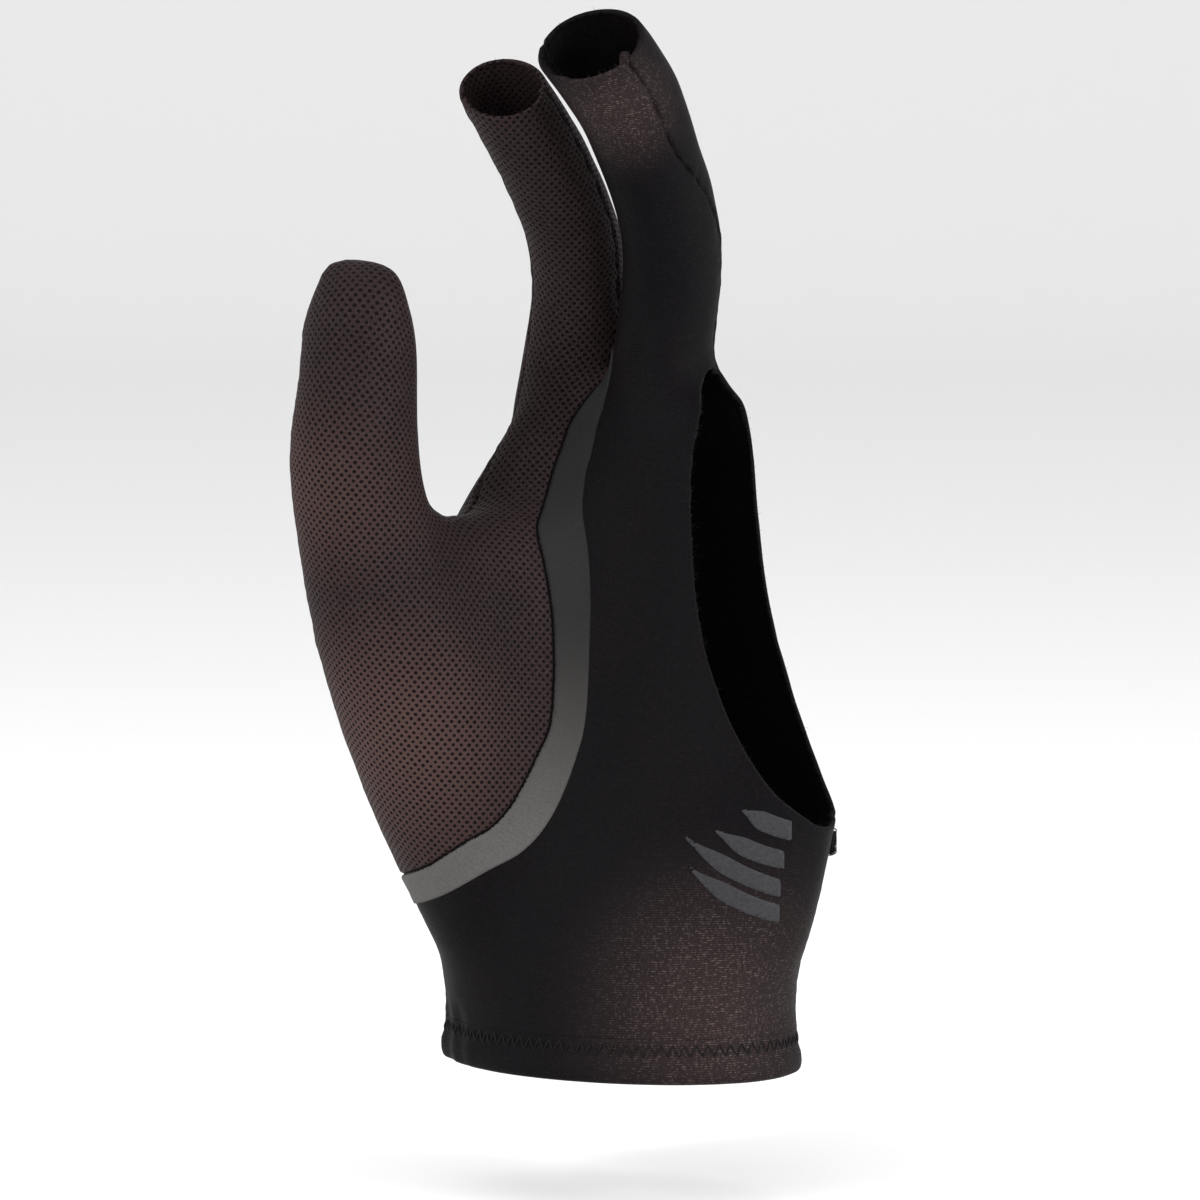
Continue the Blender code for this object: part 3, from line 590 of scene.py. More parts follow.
def hand_form():
    """The glove's outer form, closed: the limbs run into one another and the cloth is drawn tight."""
    bm = bmesh.new()
    for rows, width_axis in limb_rows().values():
        add_limb(bm, rows, width_axis)
    mesh = bpy.data.meshes.new("form")
    bm.to_mesh(mesh)
    bm.free()
    limbs = link_new("form", mesh)
    remesh = limbs.modifiers.new("One skin", "REMESH")
    remesh.mode = "VOXEL"
    remesh.voxel_size = GRAIN
    smooth = limbs.modifiers.new("Soft joins", "SMOOTH")
    smooth.factor = 0.5
    smooth.iterations = SOFTEN
    graph = bpy.context.evaluated_depsgraph_get()
    skin = bpy.data.meshes.new_from_object(limbs.evaluated_get(graph))
    bpy.data.objects.remove(limbs)
    v, edges, quads = mesh_arrays(skin)
    bpy.data.meshes.remove(skin)
    degree = np.bincount(edges.ravel(), minlength=len(v))[:, None]
    for i in range(STRETCH):
        if i % 10 == 0:
            normal = quad_normals(v, quads)
        pull = mean_of_neighbours(v, edges, degree) - v
        outward = (pull * normal).sum(1)[:, None]
        v = v + 0.5 * (normal * np.maximum(outward, 0) + pull - normal * outward)
    return v, quads, quad_normals(v, quads)


def seam_sheet(points, quads):
    """Depth of the sheet midway through the form, on a grid seen square to the side seams' view."""
    turned = np.stack([*seen(points), points[:, 2]], 1)
    tree = BVHTree.FromPolygons(turned.tolist(), quads.tolist())
    far = 3 * PALM_HALF_WIDTH
    across = np.arange(-1.8 * PALM_HALF_WIDTH, 1.8 * PALM_HALF_WIDTH, SHEET_STEP)
    up = np.arange(-CUFF_HEIGHT, PALM_HEIGHT + MIDDLE_LENGTH + CUFF_HEIGHT, SHEET_STEP)
    depth = np.full((len(up), len(across)), np.nan)
    for j, z in enumerate(up):
        for i, x in enumerate(across):
            front = tree.ray_cast(Vector((x, -far, z)), Vector((0, 1, 0)))[0]
            back = tree.ray_cast(Vector((x, far, z)), Vector((0, -1, 0)))[0]
            if front and back:
                depth[j, i] = (front.y + back.y) / 2
    known = ~np.isnan(depth)
    filled = np.where(known, depth, np.nanmean(depth))
    for i in range(FILL_ROUNDS + SHEET_SOFTEN):
        padded = np.pad(filled, 1, mode="edge")
        around = (padded[:-2, 1:-1] + padded[2:, 1:-1] + padded[1:-1, :-2] + padded[1:-1, 2:]) / 4
        filled = np.where(known, depth, around) if i < FILL_ROUNDS else (filled + around) / 2
    return across, up, filled


def beyond_sheet(points, sheet):
    """How far behind the seam sheet each point lies; the palm half is negative."""
    across, up, depth = sheet
    x, y = seen(points)
    i = np.clip((x - across[0]) / SHEET_STEP, 0, len(across) - 1.001)
    j = np.clip((points[:, 2] - up[0]) / SHEET_STEP, 0, len(up) - 1.001)
    i0, j0 = i.astype(int), j.astype(int)
    fi, fj = i - i0, j - j0
    at = (depth[j0, i0] * (1 - fi) * (1 - fj) + depth[j0, i0 + 1] * fi * (1 - fj)
          + depth[j0 + 1, i0] * (1 - fi) * fj + depth[j0 + 1, i0 + 1] * fi * fj)
    return y - at


def finger_centre(rows, share):
    """The point on a finger's centre line at the share of its length, by height."""
    curve = smooth_through(rows, ROW_STEPS)
    z = PALM_HEIGHT + (rows[-1][2] - PALM_HEIGHT) * share
    return np.array([np.interp(z, curve[:, 2], curve[:, c]) for c in range(3)])


def cut_normal(lean, turn):
    turned = Matrix.Rotation(turn, 3, "Z") @ Matrix.Rotation(lean, 3, "X")
    return np.array(turned @ Vector((0, 0, 1)))


def fork_line():
    """Points down the middle of the gap between the two finger sleeves, from the fork up."""
    limbs = limb_rows()
    index = smooth_through(limbs["index"][0], ROW_STEPS)
    middle = smooth_through(limbs["middle"][0], ROW_STEPS)
    low, high = PALM_HEIGHT * FORK_LOW, max(index[-1, 2], middle[-1, 2]) * FORK_HIGH
    points = []
    for z in np.linspace(low, high, FORK_POINTS):
        right_of_index = np.interp(z, index[:, 2], index[:, 0] + index[:, 3])
        left_of_middle = np.interp(z, middle[:, 2], middle[:, 0] - middle[:, 3])
        points.append(((right_of_index + left_of_middle) / 2, z))
    return points


def mesh_edge_line():
    """The mesh cloth's edge in (x, z), with the tape's width at each point."""
    chosen = [(p.side * PALM_HALF_WIDTH, p.up * PALM_HEIGHT, p.band * BAND_WIDTH) for p in MESH_EDGE]
    line = smooth_through(chosen, LINE_STEPS)
    return line[:, :2], line[:, 2]


def ramp(value, low, high):
    """0 below low, 1 above high and a smooth rise between."""
    t = np.clip((value - low) / (high - low), 0, 1)
    return t * t * (3 - 2 * t)


def waves(points, size, seed):
    """Smooth unevenness between about -1 and 1 with the given size, the same in every run."""
    rng = np.random.default_rng(seed)
    total = np.zeros(len(points))
    for _ in range(WAVE_COUNT):
        way = rng.normal(size=3)
        way /= np.linalg.norm(way)
        pitch = size * rng.uniform(0.7, 1.5)
        total += np.sin(points @ way * 2 * math.pi / pitch + rng.uniform(0, 2 * math.pi))
    return total / math.sqrt(WAVE_COUNT)


def coarse_copy(skin):
    """Points and triangles of the skin's largest part with far fewer faces."""
    ob = object_from(skin.points, skin.triangles, "layout")
    decimate = ob.modifiers.new("Fewer faces", "DECIMATE")
    decimate.ratio = LAYOUT_FACES / len(skin.triangles)
    graph = bpy.context.evaluated_depsgraph_get()
    coarse = bpy.data.meshes.new_from_object(ob.evaluated_get(graph))
    bpy.data.objects.remove(ob)
    coarse.calc_loop_triangles()
    p = np.array([v.co for v in coarse.vertices])
    tri = np.array([t.vertices[:] for t in coarse.loop_triangles])
    bpy.data.meshes.remove(coarse)
    used, back = np.unique(largest_island(len(p), tri), return_inverse=True)
    return p[used], back.reshape(-1, 3)


def true_shapes(p, tri):
    """Each triangle laid flat by itself, in its true shape."""
    a, b, c = p[tri[:, 0]], p[tri[:, 1]], p[tri[:, 2]]
    ab = np.linalg.norm(b - a, axis=1)
    along = (b - a) / ab[:, None]
    across = np.cross(np.cross(b - a, c - a), along)
    across /= np.maximum(np.linalg.norm(across, axis=1), 1e-12)[:, None]
    rest = np.zeros((len(tri), 3, 2))
    rest[:, 1, 0] = ab
    rest[:, 2, 0] = ((c - a) * along).sum(1)
    rest[:, 2, 1] = ((c - a) * across).sum(1)
    return rest


def flat_layout(skin):
    """Cloth coordinates for a half of the form: laid flat with as little stretch as can be."""
    p, tri = coarse_copy(skin)
    rest = true_shapes(p, tri)
    flat = np.stack([seen(p)[0], p[:, 2]], 1)
    drawn = flat[tri]
    area = ((drawn[:, 1, 0] - drawn[:, 0, 0]) * (drawn[:, 2, 1] - drawn[:, 0, 1])
            - (drawn[:, 1, 1] - drawn[:, 0, 1]) * (drawn[:, 2, 0] - drawn[:, 0, 0]))
    sides = []
    for k in range(3):
        u = rest[:, (k + 1) % 3] - rest[:, k]
        w = rest[:, (k + 2) % 3] - rest[:, k]
        weight = (u * w).sum(1) / np.maximum(abs(u[:, 0] * w[:, 1] - u[:, 1] * w[:, 0]), 1e-9)
        way = rest[:, (k + 1) % 3] - rest[:, (k + 2) % 3]
        if area.sum() < 0:
            way = way * (1, -1)
        sides.append((tri[:, (k + 1) % 3], tri[:, (k + 2) % 3], np.clip(weight, 0.05, 20.0), way))

    laplace = np.zeros((len(p), len(p)))
    for i, j, weight, _ in sides:
        for row, column, sign in ((i, i, 1), (j, j, 1), (i, j, -1), (j, i, -1)):
            np.add.at(laplace, (row, column), sign * weight)
    laplace[0, 0] += 1.0
    inverse = np.linalg.inv(laplace)
    for _ in range(LAYOUT_ROUNDS):
        spin_cos = np.zeros(len(tri))
        spin_sin = np.zeros(len(tri))
        for i, j, weight, way in sides:
            e = flat[i] - flat[j]
            spin_cos += weight * (e[:, 0] * way[:, 0] + e[:, 1] * way[:, 1])
            spin_sin += weight * (e[:, 1] * way[:, 0] - e[:, 0] * way[:, 1])
        size = np.maximum(np.hypot(spin_cos, spin_sin), 1e-12)
        spin_cos, spin_sin = spin_cos / size, spin_sin / size
        moved = np.zeros((len(p), 2))
        for i, j, weight, way in sides:
            turned = np.stack([spin_cos * way[:, 0] - spin_sin * way[:, 1],
                               spin_sin * way[:, 0] + spin_cos * way[:, 1]], 1) * weight[:, None]
            np.add.at(moved, i, turned)
            np.add.at(moved, j, -turned)
        moved[0] += flat[0]
        flat = inverse @ moved
    tree = BVHTree.FromPolygons(p.tolist(), tri.tolist())
    out = np.zeros((len(skin.points), 2))
    for n, q in enumerate(skin.points):
        near, _, face, _ = tree.find_nearest(Vector(q))
        out[n] = mixed_in_triangle(np.array(near), p[tri[face]], flat[tri[face]])
    return out


def largest_island(count, tri):
    """The triangles of the largest connected part."""
    label = np.arange(count)
    for _ in range(count):
        low = label[tri].min(1)
        new = label.copy()
        for k in range(3):
            np.minimum.at(new, tri[:, k], low)
        if (new == label).all():
            break
        label = new
    names, sizes = np.unique(label[tri[:, 0]], return_counts=True)
    return tri[label[tri[:, 0]] == names[np.argmax(sizes)]]


def mixed_in_triangle(q, corners, values):
    """The corner values mixed at a point of the triangle."""
    u, w, r = corners[1] - corners[0], corners[2] - corners[0], q - corners[0]
    uu, uw, ww, ru, rw = u @ u, u @ w, w @ w, r @ u, r @ w
    area = max(uu * ww - uw * uw, 1e-18)
    s, t = (ww * ru - uw * rw) / area, (uu * rw - uw * ru) / area
    return values[0] * (1 - s - t) + values[1] * s + values[2] * t


def edge_counts(tri):
    pairs = np.concatenate([tri[:, [0, 1]], tri[:, [1, 2]], tri[:, [2, 0]]])
    ordered = np.sort(pairs, axis=1)
    unique, first, count = np.unique(ordered, axis=0, return_index=True, return_counts=True)
    return unique, pairs[first[count == 1]]


def object_from(points, faces, name):
    mesh = bpy.data.meshes.new(name)
    mesh.from_pydata(np.asarray(points).tolist(), [], np.asarray(faces).tolist())
    mesh.update()
    return link_new(name, mesh)


def cloth_piece(name, skin, thickness, finish):
    """The skin as a wall of that thickness, inward, with its cloth coordinates on both faces."""
    points, normals, tri = skin.points, skin.values["normal"], skin.triangles
    normals = normals / np.linalg.norm(normals, axis=1)[:, None]
    _, rim = edge_counts(tri)
    count = len(points)
    inner = points - normals * thickness
    faces = [tri, tri[:, ::-1] + count]
    faces.append(np.stack([rim[:, 1], rim[:, 0], rim[:, 0] + count], 1))
    faces.append(np.stack([rim[:, 1], rim[:, 0] + count, rim[:, 1] + count], 1))
    faces = np.concatenate(faces)
    ob = object_from(np.vstack([points, inner]), faces, name)
    flat = skin.values["flat"][faces.ravel() % count]
    layer = ob.data.uv_layers.new(name="cloth")
    layer.data.foreach_set("uv", flat.astype(np.float32).ravel())
    return finish_piece(ob, finish)


def finish_piece(ob, finish):
    ob.data.materials.append(finish)
    ob.data.polygons.foreach_set("use_smooth", [True] * len(ob.data.polygons))
    return ob


def surface_distance(points, tri, level):
    """The level as a distance along the surface, true close to where it is zero."""
    a, b, c = points[tri[:, 0]], points[tri[:, 1]], points[tri[:, 2]]
    n = np.cross(b - a, c - a)
    double = np.maximum(np.linalg.norm(n, axis=1), 1e-15)[:, None]
    n = n / double
    at = level[tri]
    slope = (np.cross(n, c - b) * at[:, [0]] + np.cross(n, a - c) * at[:, [1]]
             + np.cross(n, b - a) * at[:, [2]]) / double
    steep = np.linalg.norm(slope, axis=1)
    total = np.zeros(len(points))
    share = np.zeros(len(points))
    for k in range(3):
        total += np.bincount(tri[:, k], weights=steep, minlength=len(points))
        share += np.bincount(tri[:, k], minlength=len(points))
    return level / np.maximum(total / np.maximum(share, 1), LEAST_SLOPE)


def measured_skin():
    """The whole form as a skin, with its distances to every seam and edge."""
    points, quads, normals = hand_form()
    sheet = seam_sheet(points, quads)
    tri = np.concatenate([quads[:, [0, 1, 2]], quads[:, [0, 2, 3]]])
    limbs = limb_rows()
    edge, width = mesh_edge_line()
    line = np.vstack([edge, fork_line()])
    from_edge, along = outline_distance(points[:, [0, 2]], line)
    reach = np.concatenate([[0.0], np.cumsum(np.linalg.norm(np.diff(edge, axis=0), axis=1))])
    tape = np.interp(along, reach, width, right=0.0)
    opening = smooth_through([(p.side * PALM_HALF_WIDTH, p.up * PALM_HEIGHT) for p in OPENING_EDGE],
                             LINE_STEPS)
    slid = np.stack([points[:, 0] + points[:, 1] * math.tan(OPENING_SLANT), points[:, 2]], 1)
    to_opening, _ = outline_distance(slid, opening)
    to_opening = np.minimum(-to_opening, opening[0, 1] - points[:, 2])
    index = finger_centre(limbs["index"][0], INDEX_CUT_AT)
    middle = finger_centre(limbs["middle"][0], MIDDLE_CUT_AT)
    twist = seam_turned_forward(points, limbs["middle"][0])
    half = beyond_sheet(points, sheet) + twist * (from_edge > 0)
    values = {
        "normal": normals,
        "edge": surface_distance(points, tri, from_edge),
        "plain_edge": from_edge,
        "along": along,
        "tape": tape,
        "open": surface_distance(points, tri, to_opening),
        "half": surface_distance(points, tri, half),
        "index_end": (points - index) @ cut_normal(INDEX_CUT_LEAN, INDEX_CUT_TURN),
        "middle_end": (points - middle) @ cut_normal(MIDDLE_CUT_LEAN, MIDDLE_CUT_TURN),
    }
    return Skin(points, tri, values)


def seam_turned_forward(points, rows):
    """Towards its end the middle sleeve's outer seam twists round to the palm side."""
    curve = smooth_through(rows, ROW_STEPS)
    centre = np.interp(points[:, 2], curve[:, 2], seen(curve)[0])
    aside = (seen(points)[0] - centre) / MIDDLE_HALF_WIDTH
    return SEAM_TWIST * ramp(aside, 0.1, 0.6) * ramp(points[:, 2], TWIST_FROM, TWIST_TO)


def cut_lines(skin):
    """Cuts the skin along its seams and edges, with finer rows of points beside them."""
    v = skin.values
    for step in HALF_ROWS:
        skin.cut(v["half"] - step * MM)
    for step in EDGE_ROWS:
        skin.cut(v["edge"] - step * MM)
    for step in TAPE_ROWS:
        skin.cut(v["tape"] - v["plain_edge"] - step * MM)
    for step in OPEN_ROWS:
        for name in ("open", "index_end", "middle_end"):
            skin.cut(v[name] - step * MM)
    for height in HEM_ROWS:
        skin.cut(skin.points[:, 2] - height * MM)
    return skin


def sink(distance, width, depth):
    """How far the cloth sinks at a distance from a groove's middle."""
    return depth * np.exp(-(distance / width) ** 2)


def rolled(distance, radius):
    """How far the cloth's face drops towards a cut edge, as a quarter round."""
    t = np.clip(1 - distance / radius, 0, 1)
    return radius * (1 - np.sqrt(1 - t * t))


def shape_cloth(skin):
    """Grooves along the seams, rolled edges, the hem's swell and slight unevenness."""
    v = skin.values
    p = skin.points
    v["rest"] = p.copy()
    fine = waves(p, FINE_SIZE, 5)
    down = sink(v["half"], *SEAM_GROOVE) * (1 + FINE_SHARE * fine)
    down += sink(v["edge"] - EDGE_GROOVE_AT, *EDGE_GROOVE)
    down += sink(v["half"], *SEAM_PUCKER) * fine
    down -= UNEVEN_HEIGHT * waves(p, UNEVEN_SIZE, 3)
    knit = v["edge"] > 0
    down += np.where(knit, rolled(-v["open"], KNIT_ROLL), 0)
    down += np.where(knit, rolled(-v["middle_end"], KNIT_ROLL), rolled(-v["index_end"], MESH_ROLL))
    z = p[:, 2]
    down -= HEM_SWELL * np.sin(np.clip(z / HEM_SWELL_HEIGHT, 0, 1) * math.pi)
    down += rolled(z, HEM_ROLL)
    down += sink(z - STITCH_GROOVE_AT, *STITCH_GROOVE)
    thumb_side = ramp(-p[:, 0], 14 * MM, 26 * MM) * (1 - ramp(z, 8 * MM, 13 * MM))
    down += PUCKER_HEIGHT * thumb_side * waves(p * np.array([1, 1, 0.25]), PUCKER_SIZE, 8)
    skin.points = p - v["normal"] * down[:, None]
    for corner in THUMB_CORNERS:
        draw_out(skin, corner)
    refresh_normals(skin)
    return skin


def draw_out(skin, corner):
    """Pulls the thumb stall's tip out towards one side, where its seam makes a corner."""
    p = skin.points
    aside, up = seen(p)[0], p[:, 2]
    tip = (aside < THUMB_TIP_ASIDE) & (up > THUMB_TIP_UP)
    reach = np.where(tip, aside * corner.aside + up * corner.up, -np.inf)
    apart = np.linalg.norm(p - p[np.argmax(reach)], axis=1)
    pull = corner.size * np.exp(-(apart / corner.radius) ** 2)
    way = (corner.aside * math.cos(SEAM_VIEW_TURN), corner.aside * math.sin(SEAM_VIEW_TURN), corner.up)
    skin.points = p + pull[:, None] * np.array(way)


def refresh_normals(skin):
    tri = skin.triangles
    p = skin.points
    face = np.cross(p[tri[:, 1]] - p[tri[:, 0]], p[tri[:, 2]] - p[tri[:, 0]])
    normal = summed_at_points(tri, face, len(p))
    size = np.linalg.norm(normal, axis=1)[:, None]
    skin.values["normal"] = np.where(size > 0, normal / np.maximum(size, 1e-15), skin.values["normal"])


def bar_field(skin, bar):
    """Above zero inside a printed bar, which narrows to its thumb-side end."""
    p = skin.values["rest"]
    x, z = seen(p)[0], p[:, 2]
    way = np.array([bar.right - bar.left, bar.right_up - bar.left_up])
    length = np.linalg.norm(way)
    way /= length
    rx, rz = x - bar.left, z - bar.left_up
    t = (rx * way[0] + rz * way[1]) / length
    across = rz * way[0] - rx * way[1] + bar.sag * 4 * t * (1 - t)
    half = bar.half_width * (0.12 + 0.88 * ramp(t, -0.05, 0.45))
    return np.minimum.reduce([half - abs(across), bar.right - x, (t + 0.02) * length,
                              -skin.values["half"] - 1 * MM])


def thread(points, radius, sides):
    """Points and faces of a thin tube through the points, closed at its ends."""
    p = np.asarray(points)
    way = np.gradient(p, axis=0)
    way /= np.linalg.norm(way, axis=1)[:, None]
    helper = np.array([0.0, 0.0, 1.0]) if abs(way[:, 2]).mean() < 0.8 else np.array([1.0, 0.0, 0.0])
    u = np.cross(way, helper)
    u /= np.linalg.norm(u, axis=1)[:, None]
    w = np.cross(way, u)
    radius = np.broadcast_to(radius, len(p))
    rings = []
    for k in range(sides):
        angle = 2 * math.pi * k / sides
        rings.append(p + (u * math.cos(angle) + w * math.sin(angle)) * radius[:, None])
    verts = np.stack(rings, 1).reshape(-1, 3)
    faces = []
    for i in range(len(p) - 1):
        for k in range(sides):
            n = (k + 1) % sides
            a, b = i * sides + k, i * sides + n
            faces.append((a, b, b + sides))
            faces.append((a, b + sides, a + sides))
    last = (len(p) - 1) * sides
    for k in range(1, sides - 1):
        faces.append((0, k + 1, k))
        faces.append((last, last + k, last + k + 1))
    return verts, faces


def joined(name, parts, finish):
    """One piece from many small sets of points and faces."""
    points, faces, start = [], [], 0
    for verts, tris in parts:
        points.append(verts)
        faces.append(np.array(tris) + start)
        start += len(verts)
    return finish_piece(object_from(np.vstack(points), np.concatenate(faces), name), finish)


def skin_tree(skin):
    return BVHTree.FromPolygons(skin.points.tolist(), skin.triangles.tolist())


def hem_stitches(skin, finish):
    """Zigzag of thread round the hem, each stitch an arch that dips into the cloth at its ends."""
    low = skin.part(skin.points[skin.triangles][:, :, 2].max(1) < 16 * MM)
    tree = skin_tree(low)

    def on_cloth(angle, z):
        way = Vector((math.cos(angle), math.sin(angle), 0))
        return tree.ray_cast(way * (3 * PALM_HALF_WIDTH) + Vector((0, 0, z)), -way)

    angles = np.linspace(0, 2 * math.pi, HEM_RING_POINTS)
    ring = np.array([on_cloth(a, STITCH_HEIGHT)[0] for a in angles])
    reach = np.concatenate([[0.0], np.cumsum(np.linalg.norm(np.diff(ring, axis=0), axis=1))])
    count = 2 * round(reach[-1] / STITCH_PITCH)
    turns = np.interp(np.linspace(0, reach[-1], count + 1), reach, angles)
    rng = np.random.default_rng(11)
    parts = []
    for i in range(count):
        rise = STITCH_RISE / 2 * (1 if i % 2 else -1)
        z0 = STITCH_HEIGHT + rise + rng.normal() * 0.06 * MM
        z1 = STITCH_HEIGHT - rise + rng.normal() * 0.06 * MM
        path = []
        for t in np.linspace(0.02, 0.98, STITCH_POINTS):
            hit, normal, _, _ = on_cloth(turns[i] + (turns[i + 1] - turns[i]) * t, z0 + (z1 - z0) * t)
            lift = THREAD_RADIUS * (-1.2 + 2.1 * math.sin(math.pi * t) ** 0.6)
            path.append(np.array(hit + normal * lift))
        parts.append(thread(path, THREAD_RADIUS, THREAD_SIDES))
    return joined("hem_zigzag_stitches", parts, finish)


def loose_fibres(name, skin, edges, per_metre, seed, finish):
    """Short stray fibres that stand out of a cut edge."""
    rng = np.random.default_rng(seed)
    a, b = skin.points[edges[:, 0]], skin.points[edges[:, 1]]
    size = np.linalg.norm(b - a, axis=1)
    count = int(size.sum() * per_metre)
    pick = rng.choice(len(edges), count, p=size / size.sum())
    share = rng.random(count)[:, None]
    starts = a[pick] + (b[pick] - a[pick]) * share
    normals = skin.values["normal"][edges[pick, 0]]
    run = (b - a)[pick]
    run /= np.maximum(np.linalg.norm(run, axis=1), 1e-9)[:, None]
    outward = np.cross(run, normals)
    parts = []
    for start, normal, way, out in zip(starts, normals, run, outward):
        long = FIBRE_LENGTH * rng.uniform(0.35, 1.0)
        heading = out * rng.uniform(0.5, 1.0) + way * rng.normal() * 0.7 + normal * rng.normal() * 0.5
        heading /= np.linalg.norm(heading)
        curl = rng.normal(size=3) * 0.5
        t = np.linspace(0, 1, FIBRE_POINTS)[:, None]
        path = (start - normal * 0.35 * MM - heading * 0.2 * MM + heading * long * t
                + curl * long * t * t)
        taper = np.linspace(1, 0.5, FIBRE_POINTS)
        parts.append(thread(path, FIBRE_RADIUS * taper, FIBRE_SIDES))
    return joined(name, parts, finish)


def seam_nub(name, centre, shrink, finish):
    """Folded end of a seam, a small crumpled tab wrapped in thread."""
    bm = bmesh.new()
    bmesh.ops.create_icosphere(bm, subdivisions=5, radius=1.0)
    p = np.array([v.co for v in bm.verts])
    faces = [tuple(v.index for v in f.verts) for f in bm.faces]
    bm.free()
    outward = np.array([centre[0], centre[1], 0.0])
    outward /= np.linalg.norm(outward)
    side = np.array([-outward[1], outward[0], 0.0])
    square = np.sign(p) * abs(p) ** NUB_SQUARENESS
    bend = 1 - 0.35 * square[:, 2] ** 2
    shape = (outward * (square[:, [0]] * TAB_THICKNESS * 0.62 * bend[:, None])
             + side * square[:, [1]] * TAB_WIDTH * 0.55
             + np.array([0, 0, 1.0]) * square[:, [2]] * TAB_HEIGHT * 0.56)
    lumps = waves(shape, 1.3 * MM, 21)[:, None] * 0.10 * MM
    parts = [(centre + (shape + p * lumps) * shrink, faces)]
    rng = np.random.default_rng(23)
    for k in range(NUB_WRAPS):
        z = TAB_HEIGHT * (-0.45 + 0.9 * k / (NUB_WRAPS - 1))
        angles = np.linspace(-WRAP_REACH, WRAP_REACH, WRAP_POINTS)
        wrap = (centre + outward * (np.cos(angles)[:, None] * TAB_THICKNESS * 0.66)
                + side * (np.sin(angles)[:, None] * TAB_WIDTH * 0.60)
                + np.array([0, 0, 1.0]) * (z + 0.35 * MM * np.sin(angles)[:, None]))
        wrap = centre + (wrap - centre) * shrink
        parts.append(thread(wrap, THREAD_RADIUS * rng.uniform(0.7, 1.0) * shrink, THREAD_SIDES))
    return joined(name, parts, finish)


def new_material(name, roughness=0.6, **inputs):
    """A material with its node tree and its Principled shader."""
    mat = bpy.data.materials.new(name)
    mat.use_nodes = True
    tree = mat.node_tree
    shader = tree.nodes["Principled BSDF"]
    shader.inputs["Roughness"].default_value = roughness
    for key, value in inputs.items():
        shader.inputs[key.replace("_", " ")].default_value = value
    return mat, tree, shader


class Nodes:
    """Short ways to add and join shader nodes."""

    def __init__(self, tree):
        self.tree = tree

    def add(self, kind, **inputs):
        node = self.tree.nodes.new("ShaderNode" + kind)
        for key, value in inputs.items():
            self.feed(node, key.replace("_", " "), value)
        return node

    def feed(self, node, key, value):
        socket = node.inputs[key]
        if isinstance(value, bpy.types.NodeSocket):
            self.tree.links.new(value, socket)
        else:
            socket.default_value = value

    def math(self, operation, *values):
        node = self.tree.nodes.new("ShaderNodeMath")
        node.operation = operation
        for key, value in enumerate(values):
            self.feed(node, key, value)
        return node.outputs[0]

    def ramp(self, value, low, high, start=0.0, end=1.0):
        node = self.add("MapRange", Value=value)
        node.interpolation_type = "SMOOTHSTEP"
        for key, number in (("From Min", low), ("From Max", high), ("To Min", start), ("To Max", end)):
            self.feed(node, key, number)
        return node.outputs["Result"]

    def noise(self, place, scale, detail=2.0, roughness=0.5):
        node = self.add("TexNoise", Vector=place, Scale=scale, Detail=detail, Roughness=roughness)
        return node.outputs["Fac"]

    def mix(self, share, first, second):
        node = self.tree.nodes.new("ShaderNodeMix")
        node.data_type = "RGBA"
        for key, value in ((0, share), (6, first), (7, second)):
            self.feed(node, key, (*value, 1.0) if isinstance(value, tuple) else value)
        return node.outputs[2]

    def bump(self, height, distance, strength=1.0, normal=None):
        node = self.add("Bump", Height=height, Distance=distance, Strength=strength)
        if normal is not None:
            self.feed(node, "Normal", normal)
        return node.outputs["Normal"]

    def patches(self, place, spots):
        """The largest share of the spots, each with a smooth fall to 0 at its radius."""
        most = None
        for spot in spots:
            node = self.tree.nodes.new("ShaderNodeVectorMath")
            node.operation = "DISTANCE"
            self.tree.links.new(place, node.inputs[0])
            node.inputs[1].default_value = tuple(c * MM for c in spot.centre)
            here = self.ramp(node.outputs["Value"], spot.radius * MM, 0.0, 0.0, spot.share)
            most = here if most is None else self.math("MAXIMUM", most, here)
        return most

    def cloth(self):
        """Cloth coordinates across and along, in metres."""
        place = self.add("UVMap")
        place.uv_map = "cloth"
        parts = self.add("SeparateXYZ", Vector=place.outputs["UV"])
        return place.outputs["UV"], parts.outputs["X"], parts.outputs["Y"]


